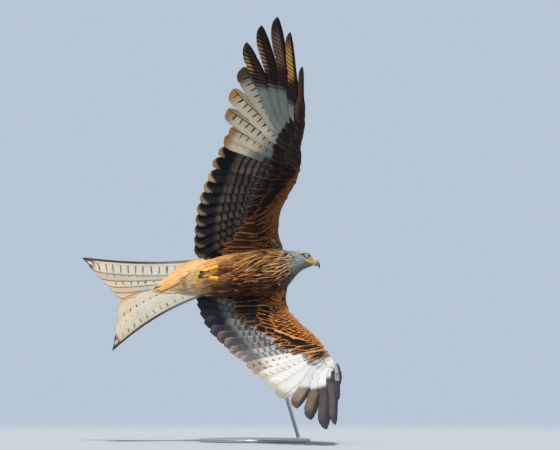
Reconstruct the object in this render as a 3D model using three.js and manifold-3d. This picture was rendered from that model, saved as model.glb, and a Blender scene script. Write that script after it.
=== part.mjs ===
// Red kite in banked flight, held on a plain display stand.
// Millimetres, +Z up. The bird faces +X, its belly is turned to -Y and its right wing points up.
import * as THREE from 'three';
import { mergeVertices } from 'three/addons/utils/BufferGeometryUtils.js';
import Module from 'manifold-3d';

const wasm = await Module();
wasm.setup();

const degree = Math.PI / 180;
const gap = 0.3;

// Trunk: centre, half width across the back, half depth from belly to back and roll, along x
const trunkStations = [
  { x: -190, y: 2, z: 430, wide: 39, deep: 33, roll: 14 },
  { x: -150, y: 0, z: 437, wide: 48.5, deep: 42, roll: 14 },
  { x: -95, y: 0, z: 446, wide: 59, deep: 50, roll: 14 },
  { x: -40, y: 0, z: 452, wide: 65, deep: 56, roll: 14 },
  { x: 14, y: 0, z: 457, wide: 67, deep: 58, roll: 14 },
  { x: 54, y: 0, z: 461, wide: 65, deep: 55, roll: 14 },
  { x: 81, y: -1, z: 464, wide: 56, deep: 48, roll: 13 },
  { x: 97, y: -2, z: 473, wide: 44.5, deep: 38.5, roll: 8 },
  { x: 113.5, y: -3, z: 483.4, wide: 34.5, deep: 29, roll: 0 },
];
const tailCut = -190;
const neckCut = 81;
const headCut = 113.5;
const trunkSides = 22;

// Head: top, bottom and half breadth, along x
const headStations = [
  { x: 113.5, top: 517.9, bottom: 448.9, half: 29 },
  { x: 120, top: 517.6, bottom: 455.4, half: 27 },
  { x: 127, top: 516.7, bottom: 461, half: 25.5 },
  { x: 134, top: 515, bottom: 464.6, half: 23.8 },
  { x: 140.5, top: 512.4, bottom: 467.3, half: 21.6 },
  { x: 147, top: 508.6, bottom: 470, half: 18.2 },
  { x: 152.7, top: 503.8, bottom: 472.6, half: 14.4 },
  { x: 157, top: 498.5, bottom: 474.6, half: 10.6 },
];
const headMiddle = -3;
const headSides = 24;
const eyeRadius = 7;
const eyeCentre = { x: 137.4, out: 13.9, z: 501.9 };
const eyeAxis = new THREE.Vector3(0.33, 0.94, 0.05).normalize();
const lidRadius = 1.4;
const lidDepth = 0.62;

// Brow and gape run from the bill back, as [x, outwards from the middle, z, radius]
const browPath = [[151, 11, 502.5, 0.8], [145.5, 16.5, 506.8, 2.2], [137.5, 19, 509.2, 2.2], [129, 20, 507.5, 0.8]];
const gapePath = [[156.9, 9.8, 484.6, 1.1], [150, 16.3, 486, 1.1], [142, 21, 488.8, 1.1], [134.5, 23.5, 491.4, 0.5]];
const lowerGapeDrop = [3, 3, 3, 1.5];
const billStart = 157;

// Upper bill: ridge and cutting edge as [x, z], and half breadth
const upperBill = [
  { ridge: [157.3, 497.3], edge: [157.3, 484], half: 9.2 },
  { ridge: [161.5, 494.8], edge: [160.8, 483], half: 8.6 },
  { ridge: [166.2, 491.8], edge: [165, 480.6], half: 7.2 },
  { ridge: [170.8, 487.6], edge: [168.6, 477.4], half: 5.6 },
  { ridge: [174.3, 482], edge: [170.9, 474], half: 4 },
  { ridge: [175.7, 475.3], edge: [172, 470.6], half: 2.4 },
  { ridge: [174.2, 466.4], edge: [173.2, 466.6], half: 0.5 },
];
const lowerBill = [
  { top: 483.2, bottom: 475, x: 157.3, half: 8.4 },
  { top: 480.9, bottom: 473.7, x: 163, half: 6.8 },
  { top: 478, bottom: 473.2, x: 167, half: 4.6 },
  { top: 475.6, bottom: 473.6, x: 169.2, half: 2.2 },
];
const nostril = { x: 162.4, out: 7.4, z: 489.6, size: [2.6, 3, 1.6] };

// Feather vanes: tilt of the leading edge towards the back, and half thicknesses
const vaneTilt = 7 * degree;
const vaneEdgeHalf = 0.3;
const shaftHalf = { root: 1.2, tip: 0.45 };
const calamusHalf = 1.6;

// Vane outlines: fraction along the feather and fraction of the full breadth
const broadVane = [[0, 0], [0.12, 0], [0.3, 1], [0.82, 1], [0.95, 0.76], [1, 0.16]];
const fingerVane = [[0, 0], [0.1, 0], [0.24, 1], [0.43, 0.98], [0.56, 0.66], [0.86, 0.52], [1, 0.06]];
const rectrixVane = [[0, 0], [0.04, 0], [0.15, 1], [0.35, 1], [0.57, 1], [0.8, 1], [0.95, 0.8], [1, 0.3]];
const covertVane = [[0, 0], [0.34, 1], [0.82, 0.84], [1, 0.16]];

// Wings: plan points are [u, v], u outwards along the span and v towards the tail.
// The whole wing bends round lines along x: the arm at armAngle and the hand at handAngle towards the belly.
const foldHalf = 30;
const fingerBendLength = 300;
const fingerBendMost = 1.3;
const primaryRoots = [10, 22, 34, 46, 58, 70, 82, 95, 108, 119];
const primaryVanes = [
  { lead: 13, trail: 33, shape: broadVane },
  { lead: 13, trail: 33, shape: broadVane },
  { lead: 13, trail: 33, shape: broadVane },
  { lead: 13, trail: 34, shape: broadVane },
  { lead: 13, trail: 35, shape: broadVane },
  { lead: 14, trail: 36, shape: fingerVane },
  { lead: 14, trail: 36, shape: fingerVane },
  { lead: 13, trail: 36, shape: fingerVane },
  { lead: 9, trail: 27, shape: fingerVane },
  { lead: 7, trail: 20, shape: fingerVane },
];
const wings = {
  right: {
    side: 1,
    shoulder: [35, 36, 494],
    armAngle: -2,
    handAngle: 38,
    fingerBend: 14,
    fingerBendStart: 450,
    elbow: [127.5, 11],
    wrist: [249, -78],
    handTip: [369, -93],
    leadingEdge: [[-20, -44], [37, -40], [54, -33], [78, -30], [110, -32], [139, -40], [170, -57], [207, -79], [240, -89],
      [279, -93], [315, -90], [346, -96], [373, -99]],
    primaryLengths: [215, 211, 248, 278, 312, 367, 391, 394, 333, 216],
    primaryAngles: [65, 59.3, 49.8, 39.4, 28.9, 23, 15.6, 9.3, 5.4, 0],
    secondaryLengths: [[0, 211], [0.22, 215], [0.55, 227], [1, 230]],
    secondaryAngles: [[0, 69], [0.22, 84.6], [1, 120]],
  },
  left: {
    side: -1,
    shoulder: [35, 18, 415],
    armAngle: 20,
    handAngle: 68,
    fingerBend: 14,
    fingerBendStart: 380,
    elbow: [127.3, -13],
    wrist: [179, -154],
    handTip: [293, -189],
    leadingEdge: [[-20, -58], [9, -52], [36, -49], [68, -60], [106, -93], [135, -128], [164, -151], [186, -159], [224, -175],
      [260, -186], [297, -194]],
    primaryLengths: [236, 238, 239, 258, 290, 317, 355, 383, 349, 214],
    primaryAngles: [62.9, 55.5, 49.2, 37.5, 27.2, 18, 10.3, 4, 1, 0],
    secondaryLengths: [[0, 226], [0.3, 219], [0.7, 240], [1, 243]],
    secondaryAngles: [[0, 70], [0.33, 85.8], [0.55, 93], [1, 113]],
  },
};
const secondaryCount = 10;
const secondaryVane = { lead: 13, trail: 34, shape: broadVane };
const tertials = { lengths: [196, 172, 146], first: 0.16, step: 0.17, turn: 2, turnStep: 3 };
const tertialVane = { lead: 13, trail: 26, shape: broadVane };

// Greater coverts lie over the flight feathers above and under them below
const covertTiers = [
  { height: 6.4, dip: 3.2 },
  { height: -7.6, dip: -3.6 },
];
const armCoverts = { count: 7, first: 1.1, length: [84, 84], lead: 14, trail: 29 };
const handCoverts = { count: 5, first: 0.7, length: [72, 104], lead: 12, trail: 24 };
const armCovertsAhead = 6;
const alula = {
  count: 2, first: 0.1, step: 0.09, turn: 9, turnStep: 3.5, length: 88, shorter: 14,
  lead: 7, trail: 18, height: 12.8, lower: 1.8, dip: 9,
};
const primaryDrop = 0.4;
const outerPrimaryStep = 0.75;

// Fleshy core of the wing: half thickness across the chord, then thickness and depth behind the bones
const coreProfile = [[0.05, 0.55], [0.25, 1], [0.6, 0.9], [1, 0.66]];
const upperArmCore = [{ u: -10, rear: 50, thick: 34 }, { u: 30, rear: 46, thick: 30 }, { u: 70, rear: 36, thick: 25 }];
const foreArmCore = { behind: 22, thick: 20, thinner: 3 };
const elbowThick = 22;
const wristCore = { behind: 20, thick: 16 };
const handCore = { behind: 9, thick: 16, thinner: 8, sections: [0, 0.25, 0.5, 0.75, 1.02] };

// Tail: forked fan of twelve feathers, turned about its own length
const tailRoot = [-140.5, 4, 446.2];
const tailDrop = 15.5 * degree;
const tailTwist = 30 * degree;
const tailFan = 25.6;
const tailFeathers = 6;
const tailRootAlong = 8;
const tailHalves = [{ side: 1, rootOut: 43, bow: 40, long: 331 }, { side: -1, rootOut: 46, bow: 68, long: 315 }];
const tailShort = 238;
const forkPower = 1.7;
const rectrix = { lead: 13, trail: 31, innerTrail: 13, step: 0.6, innerLift: 3 };
const tailCoverts = {
  count: 3, start: 62, out: 24, turn: 2, length: 78, shorter: 12, lead: 12, trail: 19, innerTrail: 4,
  lift: 7.5, drop: 0.5, dip: 2,
};
const tailCore = [
  { along: 60, wide: 38, deep: 24 },
  { along: 85, wide: 30, deep: 15 },
  { along: 112, wide: 20, deep: 8.5 },
  { along: 130, wide: 12, deep: 5 },
];

// Legs are drawn back under the tail with the toes loosely closed. Toes lean towards the other foot.
const legs = {
  right: { hip: [-60, -26, 470], heel: [-95, -52, 474], foot: [-138, -53, 460.5], lean: -3 },
  left: { hip: [-60, -30, 446], heel: [-95, -60, 440], foot: [-142, -62, 445], lean: 1 },
};
const thighRadii = [22, 16, 8.5, 6.5];
const thighEnd = 4;
const tarsusRadii = [5.6, 5, 4.4];
const toeRadii = [3.6, 3, 2.4, 1.9];
const clawRadii = [1.8, 1.7, 1.4, 0.9, 0.2];
const toeSides = [-1, 0, 1];
const toeSpread = 3.9;

// Paths from the foot joint, the z of a toe being a share of its spread and of the lean
const toeSteps = [[2, 0, 0, 0], [-8, -4, 0.7, 0.5], [-12, -11, 1, 1], [-8, -16, 1, 1.3]];
const hindToeSteps = [[-1, 1], [6, -6], [12, -10], [14, -14]];
const clawSteps = [[gap, 0], [2, 0], [4.6, 2.4], [5, 6.4], [3.2, 10]];
const clawHook = 0.35;
const hindHook = -0.7;

// Stand: a round plate and one leaning rod that meets the middle of the back
const baseRadius = 150;
const baseThickness = 8;
const baseChamfer = 1.5;
const rodRadius = 5;
const rodFoot = [118, 118, baseThickness];
const rodTop = [-10, 55, 441];
const rodSunk = 0.08;

// Materials
const finishes = {
  pale: { color: 0xb9b6ae, roughness: 0.8 },
  rufous: { color: 0x9a5a2b, roughness: 0.85 },
  dark: { color: 0x3b3430, roughness: 0.8 },
  grey: { color: 0xcfc8ba, roughness: 0.8 },
  bill: { color: 0x4c4a48, roughness: 0.35 },
  yellow: { color: 0xe0a81c, roughness: 0.5 },
  claw: { color: 0x15130f, roughness: 0.3 },
  eye: { color: 0xd8c878, roughness: 0.1 },
  steel: { color: 0x8d9092, roughness: 0.35, metalness: 1 },
};

// Linear reading of a table of [position, value] pairs
function reading(table, t) {
  const end = table.findIndex(([position]) => position >= t);
  if (end <= 0) return table[end === 0 ? 0 : table.length - 1][1];
  const [a, from] = table[end - 1];
  const [b, to] = table[end];
  return THREE.MathUtils.lerp(from, to, (t - a) / (b - a));
}

// One value of a table of stations at x
function stationValue(stations, key, x) {
  return reading(stations.map((station) => [station.x, station[key]]), x);
}

// A closed solid from points and triangles, with its faces turned outwards
function solid(points, faces) {
  const volume = faces.reduce((sum, [a, b, c]) => sum + points[a].dot(points[b].clone().cross(points[c])), 0);
  const turned = volume < 0 ? faces.map(([a, b, c]) => [a, c, b]) : faces;
  return new wasm.Manifold(new wasm.Mesh({
    numProp: 3,
    vertProperties: new Float32Array(points.flatMap((p) => [p.x, p.y, p.z])),
    triVerts: new Uint32Array(turned.flat()),
  }));
}

// A solid from one of the library's closed geometries
function fromGeometry(geometry) {
  geometry.deleteAttribute('normal');
  geometry.deleteAttribute('uv');
  const merged = mergeVertices(geometry, 1e-4);
  return new wasm.Manifold(new wasm.Mesh({
    numProp: 3,
    vertProperties: new Float32Array(merged.attributes.position.array),
    triVerts: new Uint32Array(merged.index.array),
  }));
}

// A solid through convex rings of equal count
function loft(rings) {
  const count = rings[0].length;
  const faces = [];
  for (let i = 0; i + 1 < rings.length; i++) {
    for (let j = 0; j < count; j++) {
      const a = i * count + j;
      const b = i * count + (j + 1) % count;
      faces.push([a, b, b + count], [a, b + count, a + count]);
    }
  }
  const last = (rings.length - 1) * count;
  for (let j = 1; j + 1 < count; j++) {
    faces.push([0, j + 1, j], [last, last + j, last + j + 1]);
  }
  return solid(rings.flat(), faces);
}

// A round tube of changing radius through a few points
function tube(points, radii, sides) {
  const spine = points.map((p) => new THREE.Vector3(...p));
  const rings = spine.map((centre, i) => {
    const ahead = spine[Math.min(i + 1, spine.length - 1)];
    const behind = spine[Math.max(i - 1, 0)];
    const turn = new THREE.Quaternion().setFromUnitVectors(
      new THREE.Vector3(0, 0, 1), ahead.clone().sub(behind).normalize());
    return Array.from({ length: sides }, (_, j) => {
      const angle = (j / sides) * 2 * Math.PI;
      return new THREE.Vector3(Math.cos(angle), Math.sin(angle), 0)
        .multiplyScalar(radii[i]).applyQuaternion(turn).add(centre);
    });
  });
  return loft(rings);
}

function union(shapes) {
  return wasm.Manifold.union(shapes);
}

// The largest closed surface of a solid, as a mesh
function node(name, shape, finish) {
  const body = shape.decompose().reduce((best, piece) => (piece.volume() > best.volume() ? piece : best));
  const { numProp, vertProperties, triVerts } = body.getMesh();
  const positions = new Float32Array((vertProperties.length / numProp) * 3);
  for (let i = 0; i < positions.length / 3; i++) {
    for (let k = 0; k < 3; k++) positions[i * 3 + k] = vertProperties[i * numProp + k];
  }
  const geometry = new THREE.BufferGeometry();
  geometry.setAttribute('position', new THREE.BufferAttribute(positions, 3));
  geometry.setIndex(new THREE.BufferAttribute(new Uint32Array(triVerts), 1));
  geometry.computeVertexNormals();
  const mesh = new THREE.Mesh(geometry, new THREE.MeshStandardMaterial(finishes[finish]));
  mesh.name = name;
  return mesh;
}

// Trunk section at x, grown by the given amount
function trunkRing(x, grow = 0) {
  const at = (key) => stationValue(trunkStations, key, x);
  const roll = at('roll') * degree;
  return Array.from({ length: trunkSides }, (_, j) => {
    const angle = (j / trunkSides) * 2 * Math.PI;
    const across = (at('wide') + grow) * Math.cos(angle);
    const back = (at('deep') + grow) * Math.sin(angle);
    return new THREE.Vector3(
      x,
      at('y') + across * Math.sin(roll) + back * Math.cos(roll),
      at('z') + across * Math.cos(roll) - back * Math.sin(roll),
    );
  });
}

function trunk(from, to, grow = 0) {
  const between = trunkStations.map((station) => station.x).filter((x) => x > from && x < to);
  return loft([from, ...between, to].map((x) => trunkRing(x, grow)));
}

// Head section at x, a little squarer than an ellipse
function headRing(station, x) {
  const centre = (station.top + station.bottom) / 2;
  const tall = (station.top - station.bottom) / 2;
  return Array.from({ length: headSides }, (_, j) => {
    const angle = (j / headSides) * 2 * Math.PI;
    return new THREE.Vector3(x, headMiddle + station.half * Math.cos(angle), centre + tall * Math.sin(angle));
  });
}

function eyePoint(side, depth = 0) {
  return new THREE.Vector3(
    eyeCentre.x + eyeAxis.x * depth,
    headMiddle + side * (eyeCentre.out + eyeAxis.y * depth),
    eyeCentre.z + eyeAxis.z * depth,
  );
}

function eyeball(side, radius) {
  const geometry = new THREE.SphereGeometry(radius, 14, 8);
  geometry.translate(...eyePoint(side).toArray());
  return fromGeometry(geometry);
}

// Upper and lower lid as one ring round the front of the eye
function eyelids(side) {
  const depth = eyeRadius * lidDepth;
  const ring = Math.sqrt(eyeRadius ** 2 - depth ** 2) + 0.5;
  const geometry = new THREE.TorusGeometry(ring, lidRadius, 5, 14);
  const axis = new THREE.Vector3(eyeAxis.x, side * eyeAxis.y, eyeAxis.z);
  geometry.applyQuaternion(new THREE.Quaternion().setFromUnitVectors(new THREE.Vector3(0, 0, 1), axis));
  geometry.translate(...eyePoint(side, depth).toArray());
  return fromGeometry(geometry);
}

function headTube(path, side, sides, drops = [0, 0, 0, 0]) {
  const points = path.map(([x, out, z], i) => [x, headMiddle + side * out, z - drops[i]]);
  return tube(points, path.map(([, , , radius]) => radius), sides);
}

// Bony shelf over the eye that gives a bird of prey its frown
function brow(side) {
  return headTube(browPath, side, 7);
}

// Fleshy edges of the gape above and below the line of the mouth
function gape(side) {
  return [headTube(gapePath, side, 6), headTube(gapePath, side, 6, lowerGapeDrop)];
}

function head() {
  const skull = loft(headStations.map((station, i) => headRing(station, i ? station.x : station.x + gap)));
  const extras = [1, -1].flatMap((side) => [eyelids(side), brow(side), ...gape(side)]);
  const sockets = union([eyeball(1, eyeRadius + gap), eyeball(-1, eyeRadius + gap)]);
  const ahead = new THREE.BoxGeometry(20, 60, 60);
  ahead.translate(billStart + 10, headMiddle, eyeCentre.z - 17);
  return union([skull, ...extras]).subtract(sockets).subtract(fromGeometry(ahead));
}

// Bill sections are seven points from the ridge down both sides to the cutting edges
function upperBillRing({ ridge, edge, half }) {
  const flank = [[0.3, 0.66], [0.72, 1], [1, 0.9]];
  const at = (t, y) => new THREE.Vector3(
    THREE.MathUtils.lerp(ridge[0], edge[0], t), headMiddle + y, THREE.MathUtils.lerp(ridge[1], edge[1], t));
  const down = flank.map(([t, breadth]) => at(t, half * breadth));
  const up = flank.map(([t, breadth]) => at(t, -half * breadth)).reverse();
  return [at(0, 0), ...down, ...up];
}

function billUpper() {
  const holes = [1, -1].map((side) => {
    const geometry = new THREE.SphereGeometry(1, 10, 6);
    geometry.scale(...nostril.size);
    geometry.translate(nostril.x, headMiddle + side * nostril.out, nostril.z);
    return fromGeometry(geometry);
  });
  return loft(upperBill.map(upperBillRing)).subtract(union(holes));
}

function billLower() {
  return loft(lowerBill.map(({ x, top, bottom, half }) => [
    new THREE.Vector3(x, headMiddle + half, top),
    new THREE.Vector3(x, headMiddle - half, top),
    new THREE.Vector3(x, headMiddle - half * 0.8, (top + bottom) / 2),
    new THREE.Vector3(x, headMiddle, bottom),
    new THREE.Vector3(x, headMiddle + half * 0.8, (top + bottom) / 2),
  ]));
}

// A vane from rows of six points: leading edge, shaft and trailing edge above, then the same below.
// Both faces are split along the same diagonals.
function vaneSolid(rows) {
  const faces = [];
  for (let i = 0; i + 1 < rows.length; i++) {
    const at = i * 6;
    for (const j of [0, 1, 2, 5]) {
      const a = at + j;
      const b = at + (j + 1) % 6;
      faces.push([a, b, b + 6], [a, b + 6, a + 6]);
    }
    for (const j of [3, 4]) {
      const a = at + j;
      const b = a + 1;
      faces.push([a, b, a + 6], [b, b + 6, a + 6]);
    }
  }
  const last = (rows.length - 1) * 6;
  for (const [a, b, c, d] of [[0, 1, 4, 5], [1, 2, 3, 4]]) {
    faces.push([a, c, b], [a, d, c]);
    faces.push([last + a, last + b, last + c], [last + a, last + c, last + d]);
  }
  return solid(rows.flat(), faces);
}

// One feather in plan coordinates: angle from the u axis towards v, leading side up, and how far it bows
function feather(place, { root, angle, length, lead, trail, shape, height = 0, dip = 0, bow = 0 }) {
  const along = [Math.cos(angle * degree), Math.sin(angle * degree)];
  const ahead = [along[1], -along[0]];
  const rows = shape.map(([t, breadth]) => {
    const shaft = THREE.MathUtils.lerp(shaftHalf.root, shaftHalf.tip, t);
    const edge = breadth ? vaneEdgeHalf : shaft * 0.6;
    const level = height - dip * (1 - THREE.MathUtils.smoothstep(t, 0, 0.3));
    const aside = bow * t * (t - 1);
    const point = (side, up) => place(
      root[0] + along[0] * length * t + ahead[0] * (aside + side),
      root[1] + along[1] * length * t + ahead[1] * (aside + side),
      level + side * Math.tan(vaneTilt) + up,
    );
    const front = Math.max(lead * breadth, calamusHalf);
    const rear = -Math.max(trail * breadth, calamusHalf);
    return [point(front, edge), point(0, shaft), point(rear, edge),
      point(rear, -edge), point(0, -shaft), point(front, -edge)];
  });
  return vaneSolid(rows);
}

// Maps plan coordinates and height to space, bending the wing round lines along x
function wingSpace(wing) {
  const [x, y, z] = wing.shoulder;
  const step = 2;
  const rows = [];
  let [spanY, spanZ] = [y, z];
  for (let u = 0; u < 900; u += step) {
    const fold = THREE.MathUtils.smoothstep(u, wing.wrist[0] - foldHalf, wing.wrist[0] + foldHalf);
    const bend = THREE.MathUtils.clamp((u - wing.fingerBendStart) / fingerBendLength, 0, fingerBendMost);
    const angle = THREE.MathUtils.lerp(wing.armAngle, wing.handAngle, fold) - wing.fingerBend * bend;
    rows.push({ y: spanY, z: spanZ, angle: angle * degree });
    spanY -= Math.sin(angle * degree) * step;
    spanZ += wing.side * Math.cos(angle * degree) * step;
  }
  return (u, v, w) => {
    const row = rows[Math.max(0, Math.min(rows.length - 1, Math.floor(u / step)))];
    const rest = u - Math.max(0, Math.floor(u / step)) * step;
    const [sin, cos] = [Math.sin(row.angle), Math.cos(row.angle)];
    return new THREE.Vector3(
      x - v,
      row.y - sin * rest + cos * w,
      row.z + wing.side * (cos * rest + sin * w),
    );
  };
}

function between(a, b, t) {
  return a.map((value, i) => THREE.MathUtils.lerp(value, b[i], t));
}

// Fleshy core of the wing: sections across the span from the leading edge to behind the bones
function wingCore(place, wing, stations) {
  return loft(stations.map(({ u, rear, thick }) => {
    const front = reading(wing.leadingEdge, u);
    const at = (chord, up) => place(u, THREE.MathUtils.lerp(front, rear, chord), up * thick / 2);
    const above = coreProfile.map(([chord, up]) => at(chord, up));
    const below = coreProfile.map(([chord, up]) => at(chord, -up));
    return [at(0, 0), ...above, ...below.reverse()];
  }));
}

function secondaries(wing) {
  const feathers = [];
  for (let k = 0; k < secondaryCount; k++) {
    const t = k / (secondaryCount - 1);
    feathers.push({
      ...secondaryVane,
      root: between(wing.wrist, wing.elbow, (k + 0.5) / (secondaryCount + 0.5)),
      angle: reading(wing.secondaryAngles, t),
      length: reading(wing.secondaryLengths, t),
    });
  }
  const lastAngle = reading(wing.secondaryAngles, 1);
  tertials.lengths.forEach((length, k) => {
    feathers.push({
      ...tertialVane,
      root: between(wing.elbow, [0, 0], tertials.first + tertials.step * k),
      angle: lastAngle - tertials.turn - tertials.turnStep * k,
      length,
    });
  });
  return feathers;
}

function primaries(wing) {
  const reach = Math.hypot(wing.handTip[0] - wing.wrist[0], wing.handTip[1] - wing.wrist[1]);
  return wing.primaryLengths.map((length, k) => ({
    ...primaryVanes[k],
    root: between(wing.wrist, wing.handTip, primaryRoots[k] / reach),
    angle: wing.primaryAngles[k],
    length,
    height: -primaryDrop - outerPrimaryStep * Math.max(0, k - 3),
  }));
}

// Greater coverts spread over a row of flight feathers, following their directions
function coverts(flight, { count, first, length, lead, trail }, ahead) {
  return covertTiers.flatMap(({ height, dip }) => Array.from({ length: count }, (_, i) => {
    const at = THREE.MathUtils.lerp(first, flight.length - 1, i / (count - 1));
    const low = flight[Math.floor(at)];
    const high = flight[Math.ceil(at)];
    const t = at - Math.floor(at);
    const angle = THREE.MathUtils.lerp(low.angle, high.angle, t);
    const [u, v] = between(low.root, high.root, t);
    return {
      root: [u - ahead * Math.cos(angle * degree), v - ahead * Math.sin(angle * degree)],
      angle,
      length: THREE.MathUtils.lerp(...length, i / (count - 1)),
      lead,
      trail,
      shape: covertVane,
      height,
      dip,
    };
  }));
}

function wingArm(wing, torsoGrown) {
  const place = wingSpace(wing);
  const [elbow, wrist] = [wing.elbow, wing.wrist];
  const core = wingCore(place, wing, [
    ...upperArmCore,
    { u: elbow[0], rear: elbow[1] + foreArmCore.behind, thick: elbowThick },
    ...[0.25, 0.5, 0.75].map((t) => {
      const [u, v] = between(elbow, wrist, t);
      return { u, rear: v + foreArmCore.behind, thick: foreArmCore.thick - foreArmCore.thinner * t };
    }),
    { u: wrist[0] - gap / 2, rear: wrist[1] + wristCore.behind, thick: wristCore.thick },
  ]);
  const flight = secondaries(wing);
  const vanes = [...flight, ...coverts(flight.slice(0, -1), armCoverts, armCovertsAhead)];
  return union([core, ...vanes.map((vane) => feather(place, vane))]).subtract(torsoGrown);
}

function wingHand(wing) {
  const place = wingSpace(wing);
  const [wrist, tip] = [wing.wrist, wing.handTip];
  const core = wingCore(place, wing, handCore.sections.map((t) => {
    const [u, v] = between(wrist, tip, t);
    return { u: t ? u : u + gap / 2, rear: v + handCore.behind - t, thick: handCore.thick - handCore.thinner * t };
  }));
  const flight = primaries(wing);
  const thumb = Array.from({ length: alula.count }, (_, i) => ({
    root: between(wrist, tip, alula.first + alula.step * i),
    angle: wing.primaryAngles[9] + alula.turn - alula.turnStep * i,
    length: alula.length - alula.shorter * i,
    lead: alula.lead,
    trail: alula.trail,
    shape: covertVane,
    height: alula.height - alula.lower * i,
    dip: alula.dip,
  }));
  const vanes = [...flight, ...coverts(flight, handCoverts, 0), ...thumb];
  return union([core, ...vanes.map((vane) => feather(place, vane))]);
}

// Tail coordinates: u along the middle of the tail, v outwards on the given side, w towards the back
function tailSpace(side) {
  const back = new THREE.Vector3(-Math.cos(tailDrop), 0, -Math.sin(tailDrop));
  const flat = new THREE.Vector3(-Math.sin(tailDrop), 0, Math.cos(tailDrop));
  const across = flat.multiplyScalar(Math.cos(tailTwist)).add(new THREE.Vector3(0, Math.sin(tailTwist), 0));
  const up = back.clone().cross(across);
  return (u, v, w) => new THREE.Vector3(...tailRoot)
    .addScaledVector(back, u).addScaledVector(across, -v * side).addScaledVector(up, w);
}

// Tips lie on the fork's outline, roots side by side under the rump
function rectrices() {
  return tailHalves.flatMap(({ side, rootOut, bow, long }) => Array.from({ length: tailFeathers }, (_, k) => {
    const share = (k + 0.5) / (tailFeathers - 0.5);
    const reach = THREE.MathUtils.lerp(tailShort, long, share ** forkPower);
    const along = reach * Math.cos(tailFan * share * degree) - tailRootAlong;
    const out = reach * Math.sin(tailFan * share * degree) - rootOut * share;
    const lifted = side < 0 && k === 0;
    return {
      side,
      root: [tailRootAlong, -rootOut * share],
      angle: -Math.atan2(out, along) / degree,
      length: Math.hypot(along, out),
      lead: rectrix.lead,
      trail: k ? rectrix.trail : rectrix.innerTrail,
      bow: bow * share,
      shape: rectrixVane,
      height: -rectrix.step * k + (lifted ? rectrix.innerLift : 0),
    };
  }));
}

function tailCovertVanes() {
  return [1, -1].flatMap((level) => [1, -1].flatMap((side) => (
    Array.from({ length: tailCoverts.count }, (_, k) => ({
      side,
      root: [tailCoverts.start, -tailCoverts.out * (k + 0.5) / tailCoverts.count],
      angle: -tailCoverts.turn,
      length: tailCoverts.length - tailCoverts.shorter * k,
      lead: tailCoverts.lead,
      trail: k ? tailCoverts.trail : tailCoverts.innerTrail,
      shape: covertVane,
      height: level * tailCoverts.lift - tailCoverts.drop * k,
      dip: level * tailCoverts.dip,
    }))
  )));
}

function tail() {
  const place = tailSpace(1);
  const rings = tailCore.map(({ along, wide, deep }) => Array.from({ length: trunkSides }, (_, j) => {
    const angle = (j / trunkSides) * 2 * Math.PI;
    return place(along, -wide * Math.cos(angle), deep * Math.sin(angle));
  }));
  const rump = trunkRing(tailCut).map((p) => p.setX(tailCut - gap));
  const vanes = [...rectrices(), ...tailCovertVanes()].map((vane) => feather(tailSpace(vane.side), vane));
  const front = new THREE.BoxGeometry(200, 400, 400);
  front.translate(tailCut - gap + 100, 0, 440);
  return union([loft([rump, ...rings]), ...vanes]).subtract(fromGeometry(front));
}

// Point on the line from heel to foot, at a distance past the heel
function alongShank({ heel, foot }, distance) {
  const toward = new THREE.Vector3(...foot).sub(new THREE.Vector3(...heel)).normalize();
  return new THREE.Vector3(...heel).addScaledVector(toward, distance).toArray();
}

function thigh(leg, torsoGrown) {
  const middle = between(leg.hip, leg.heel, 0.5);
  return tube([leg.hip, middle, leg.heel, alongShank(leg, thighEnd)], thighRadii, 12).subtract(torsoGrown);
}

// Toe paths run back, outwards from the belly and forward again, with the claw at the end
function toePath({ foot, lean }, spread) {
  const [x, y, z] = foot;
  return toeSteps.map(([dx, dy, spreadShare, leanShare]) => (
    [x + dx, y + dy, z + spread * spreadShare + lean * leanShare]));
}

function hindToePath({ foot }) {
  const [x, y, z] = foot;
  return hindToeSteps.map(([dx, dy]) => [x + dx, y + dy, z]);
}

// A claw runs on from the end of its toe, then hooks back towards the belly
function clawPath(path, forward) {
  const end = new THREE.Vector3(...path[3]);
  const on = end.clone().sub(new THREE.Vector3(...path[2])).normalize();
  const hook = new THREE.Vector3(forward, clawHook, 0).normalize();
  return clawSteps.map(([further, across]) => (
    end.clone().addScaledVector(on, further).addScaledVector(hook, across).toArray()));
}

function toePaths(leg) {
  return [
    ...toeSides.map((side) => ({ path: toePath(leg, side * toeSpread), forward: 1 })),
    { path: hindToePath(leg), forward: hindHook },
  ];
}

function shank(leg) {
  const start = alongShank(leg, thighEnd + gap);
  return union([
    tube([start, between(start, leg.foot, 0.5), leg.foot], tarsusRadii, 9),
    ...toePaths(leg).map(({ path }) => tube(path, toeRadii, 6)),
  ]);
}

function claw({ path, forward }) {
  return tube(clawPath(path, forward), clawRadii, 6);
}

function standBase() {
  const profile = [
    [0, 0], [baseRadius - baseChamfer, 0], [baseRadius, baseChamfer],
    [baseRadius, baseThickness - baseChamfer], [baseRadius - baseChamfer, baseThickness], [0, baseThickness],
  ];
  const geometry = new THREE.LatheGeometry(profile.map((p) => new THREE.Vector2(...p)), 40);
  geometry.rotateX(Math.PI / 2);
  return fromGeometry(geometry);
}

function standRod(torsoGrown) {
  const foot = new THREE.Vector3(...rodFoot);
  const top = new THREE.Vector3(...rodTop);
  const end = top.clone().lerp(foot, -rodSunk);
  const start = foot.clone().lerp(top, -0.05);
  const floor = new THREE.BoxGeometry(600, 600, 100);
  floor.translate(0, 0, baseThickness + gap - 50);
  return tube([start.toArray(), end.toArray()], [rodRadius, rodRadius], 16)
    .subtract(torsoGrown).subtract(fromGeometry(floor));
}

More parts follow.
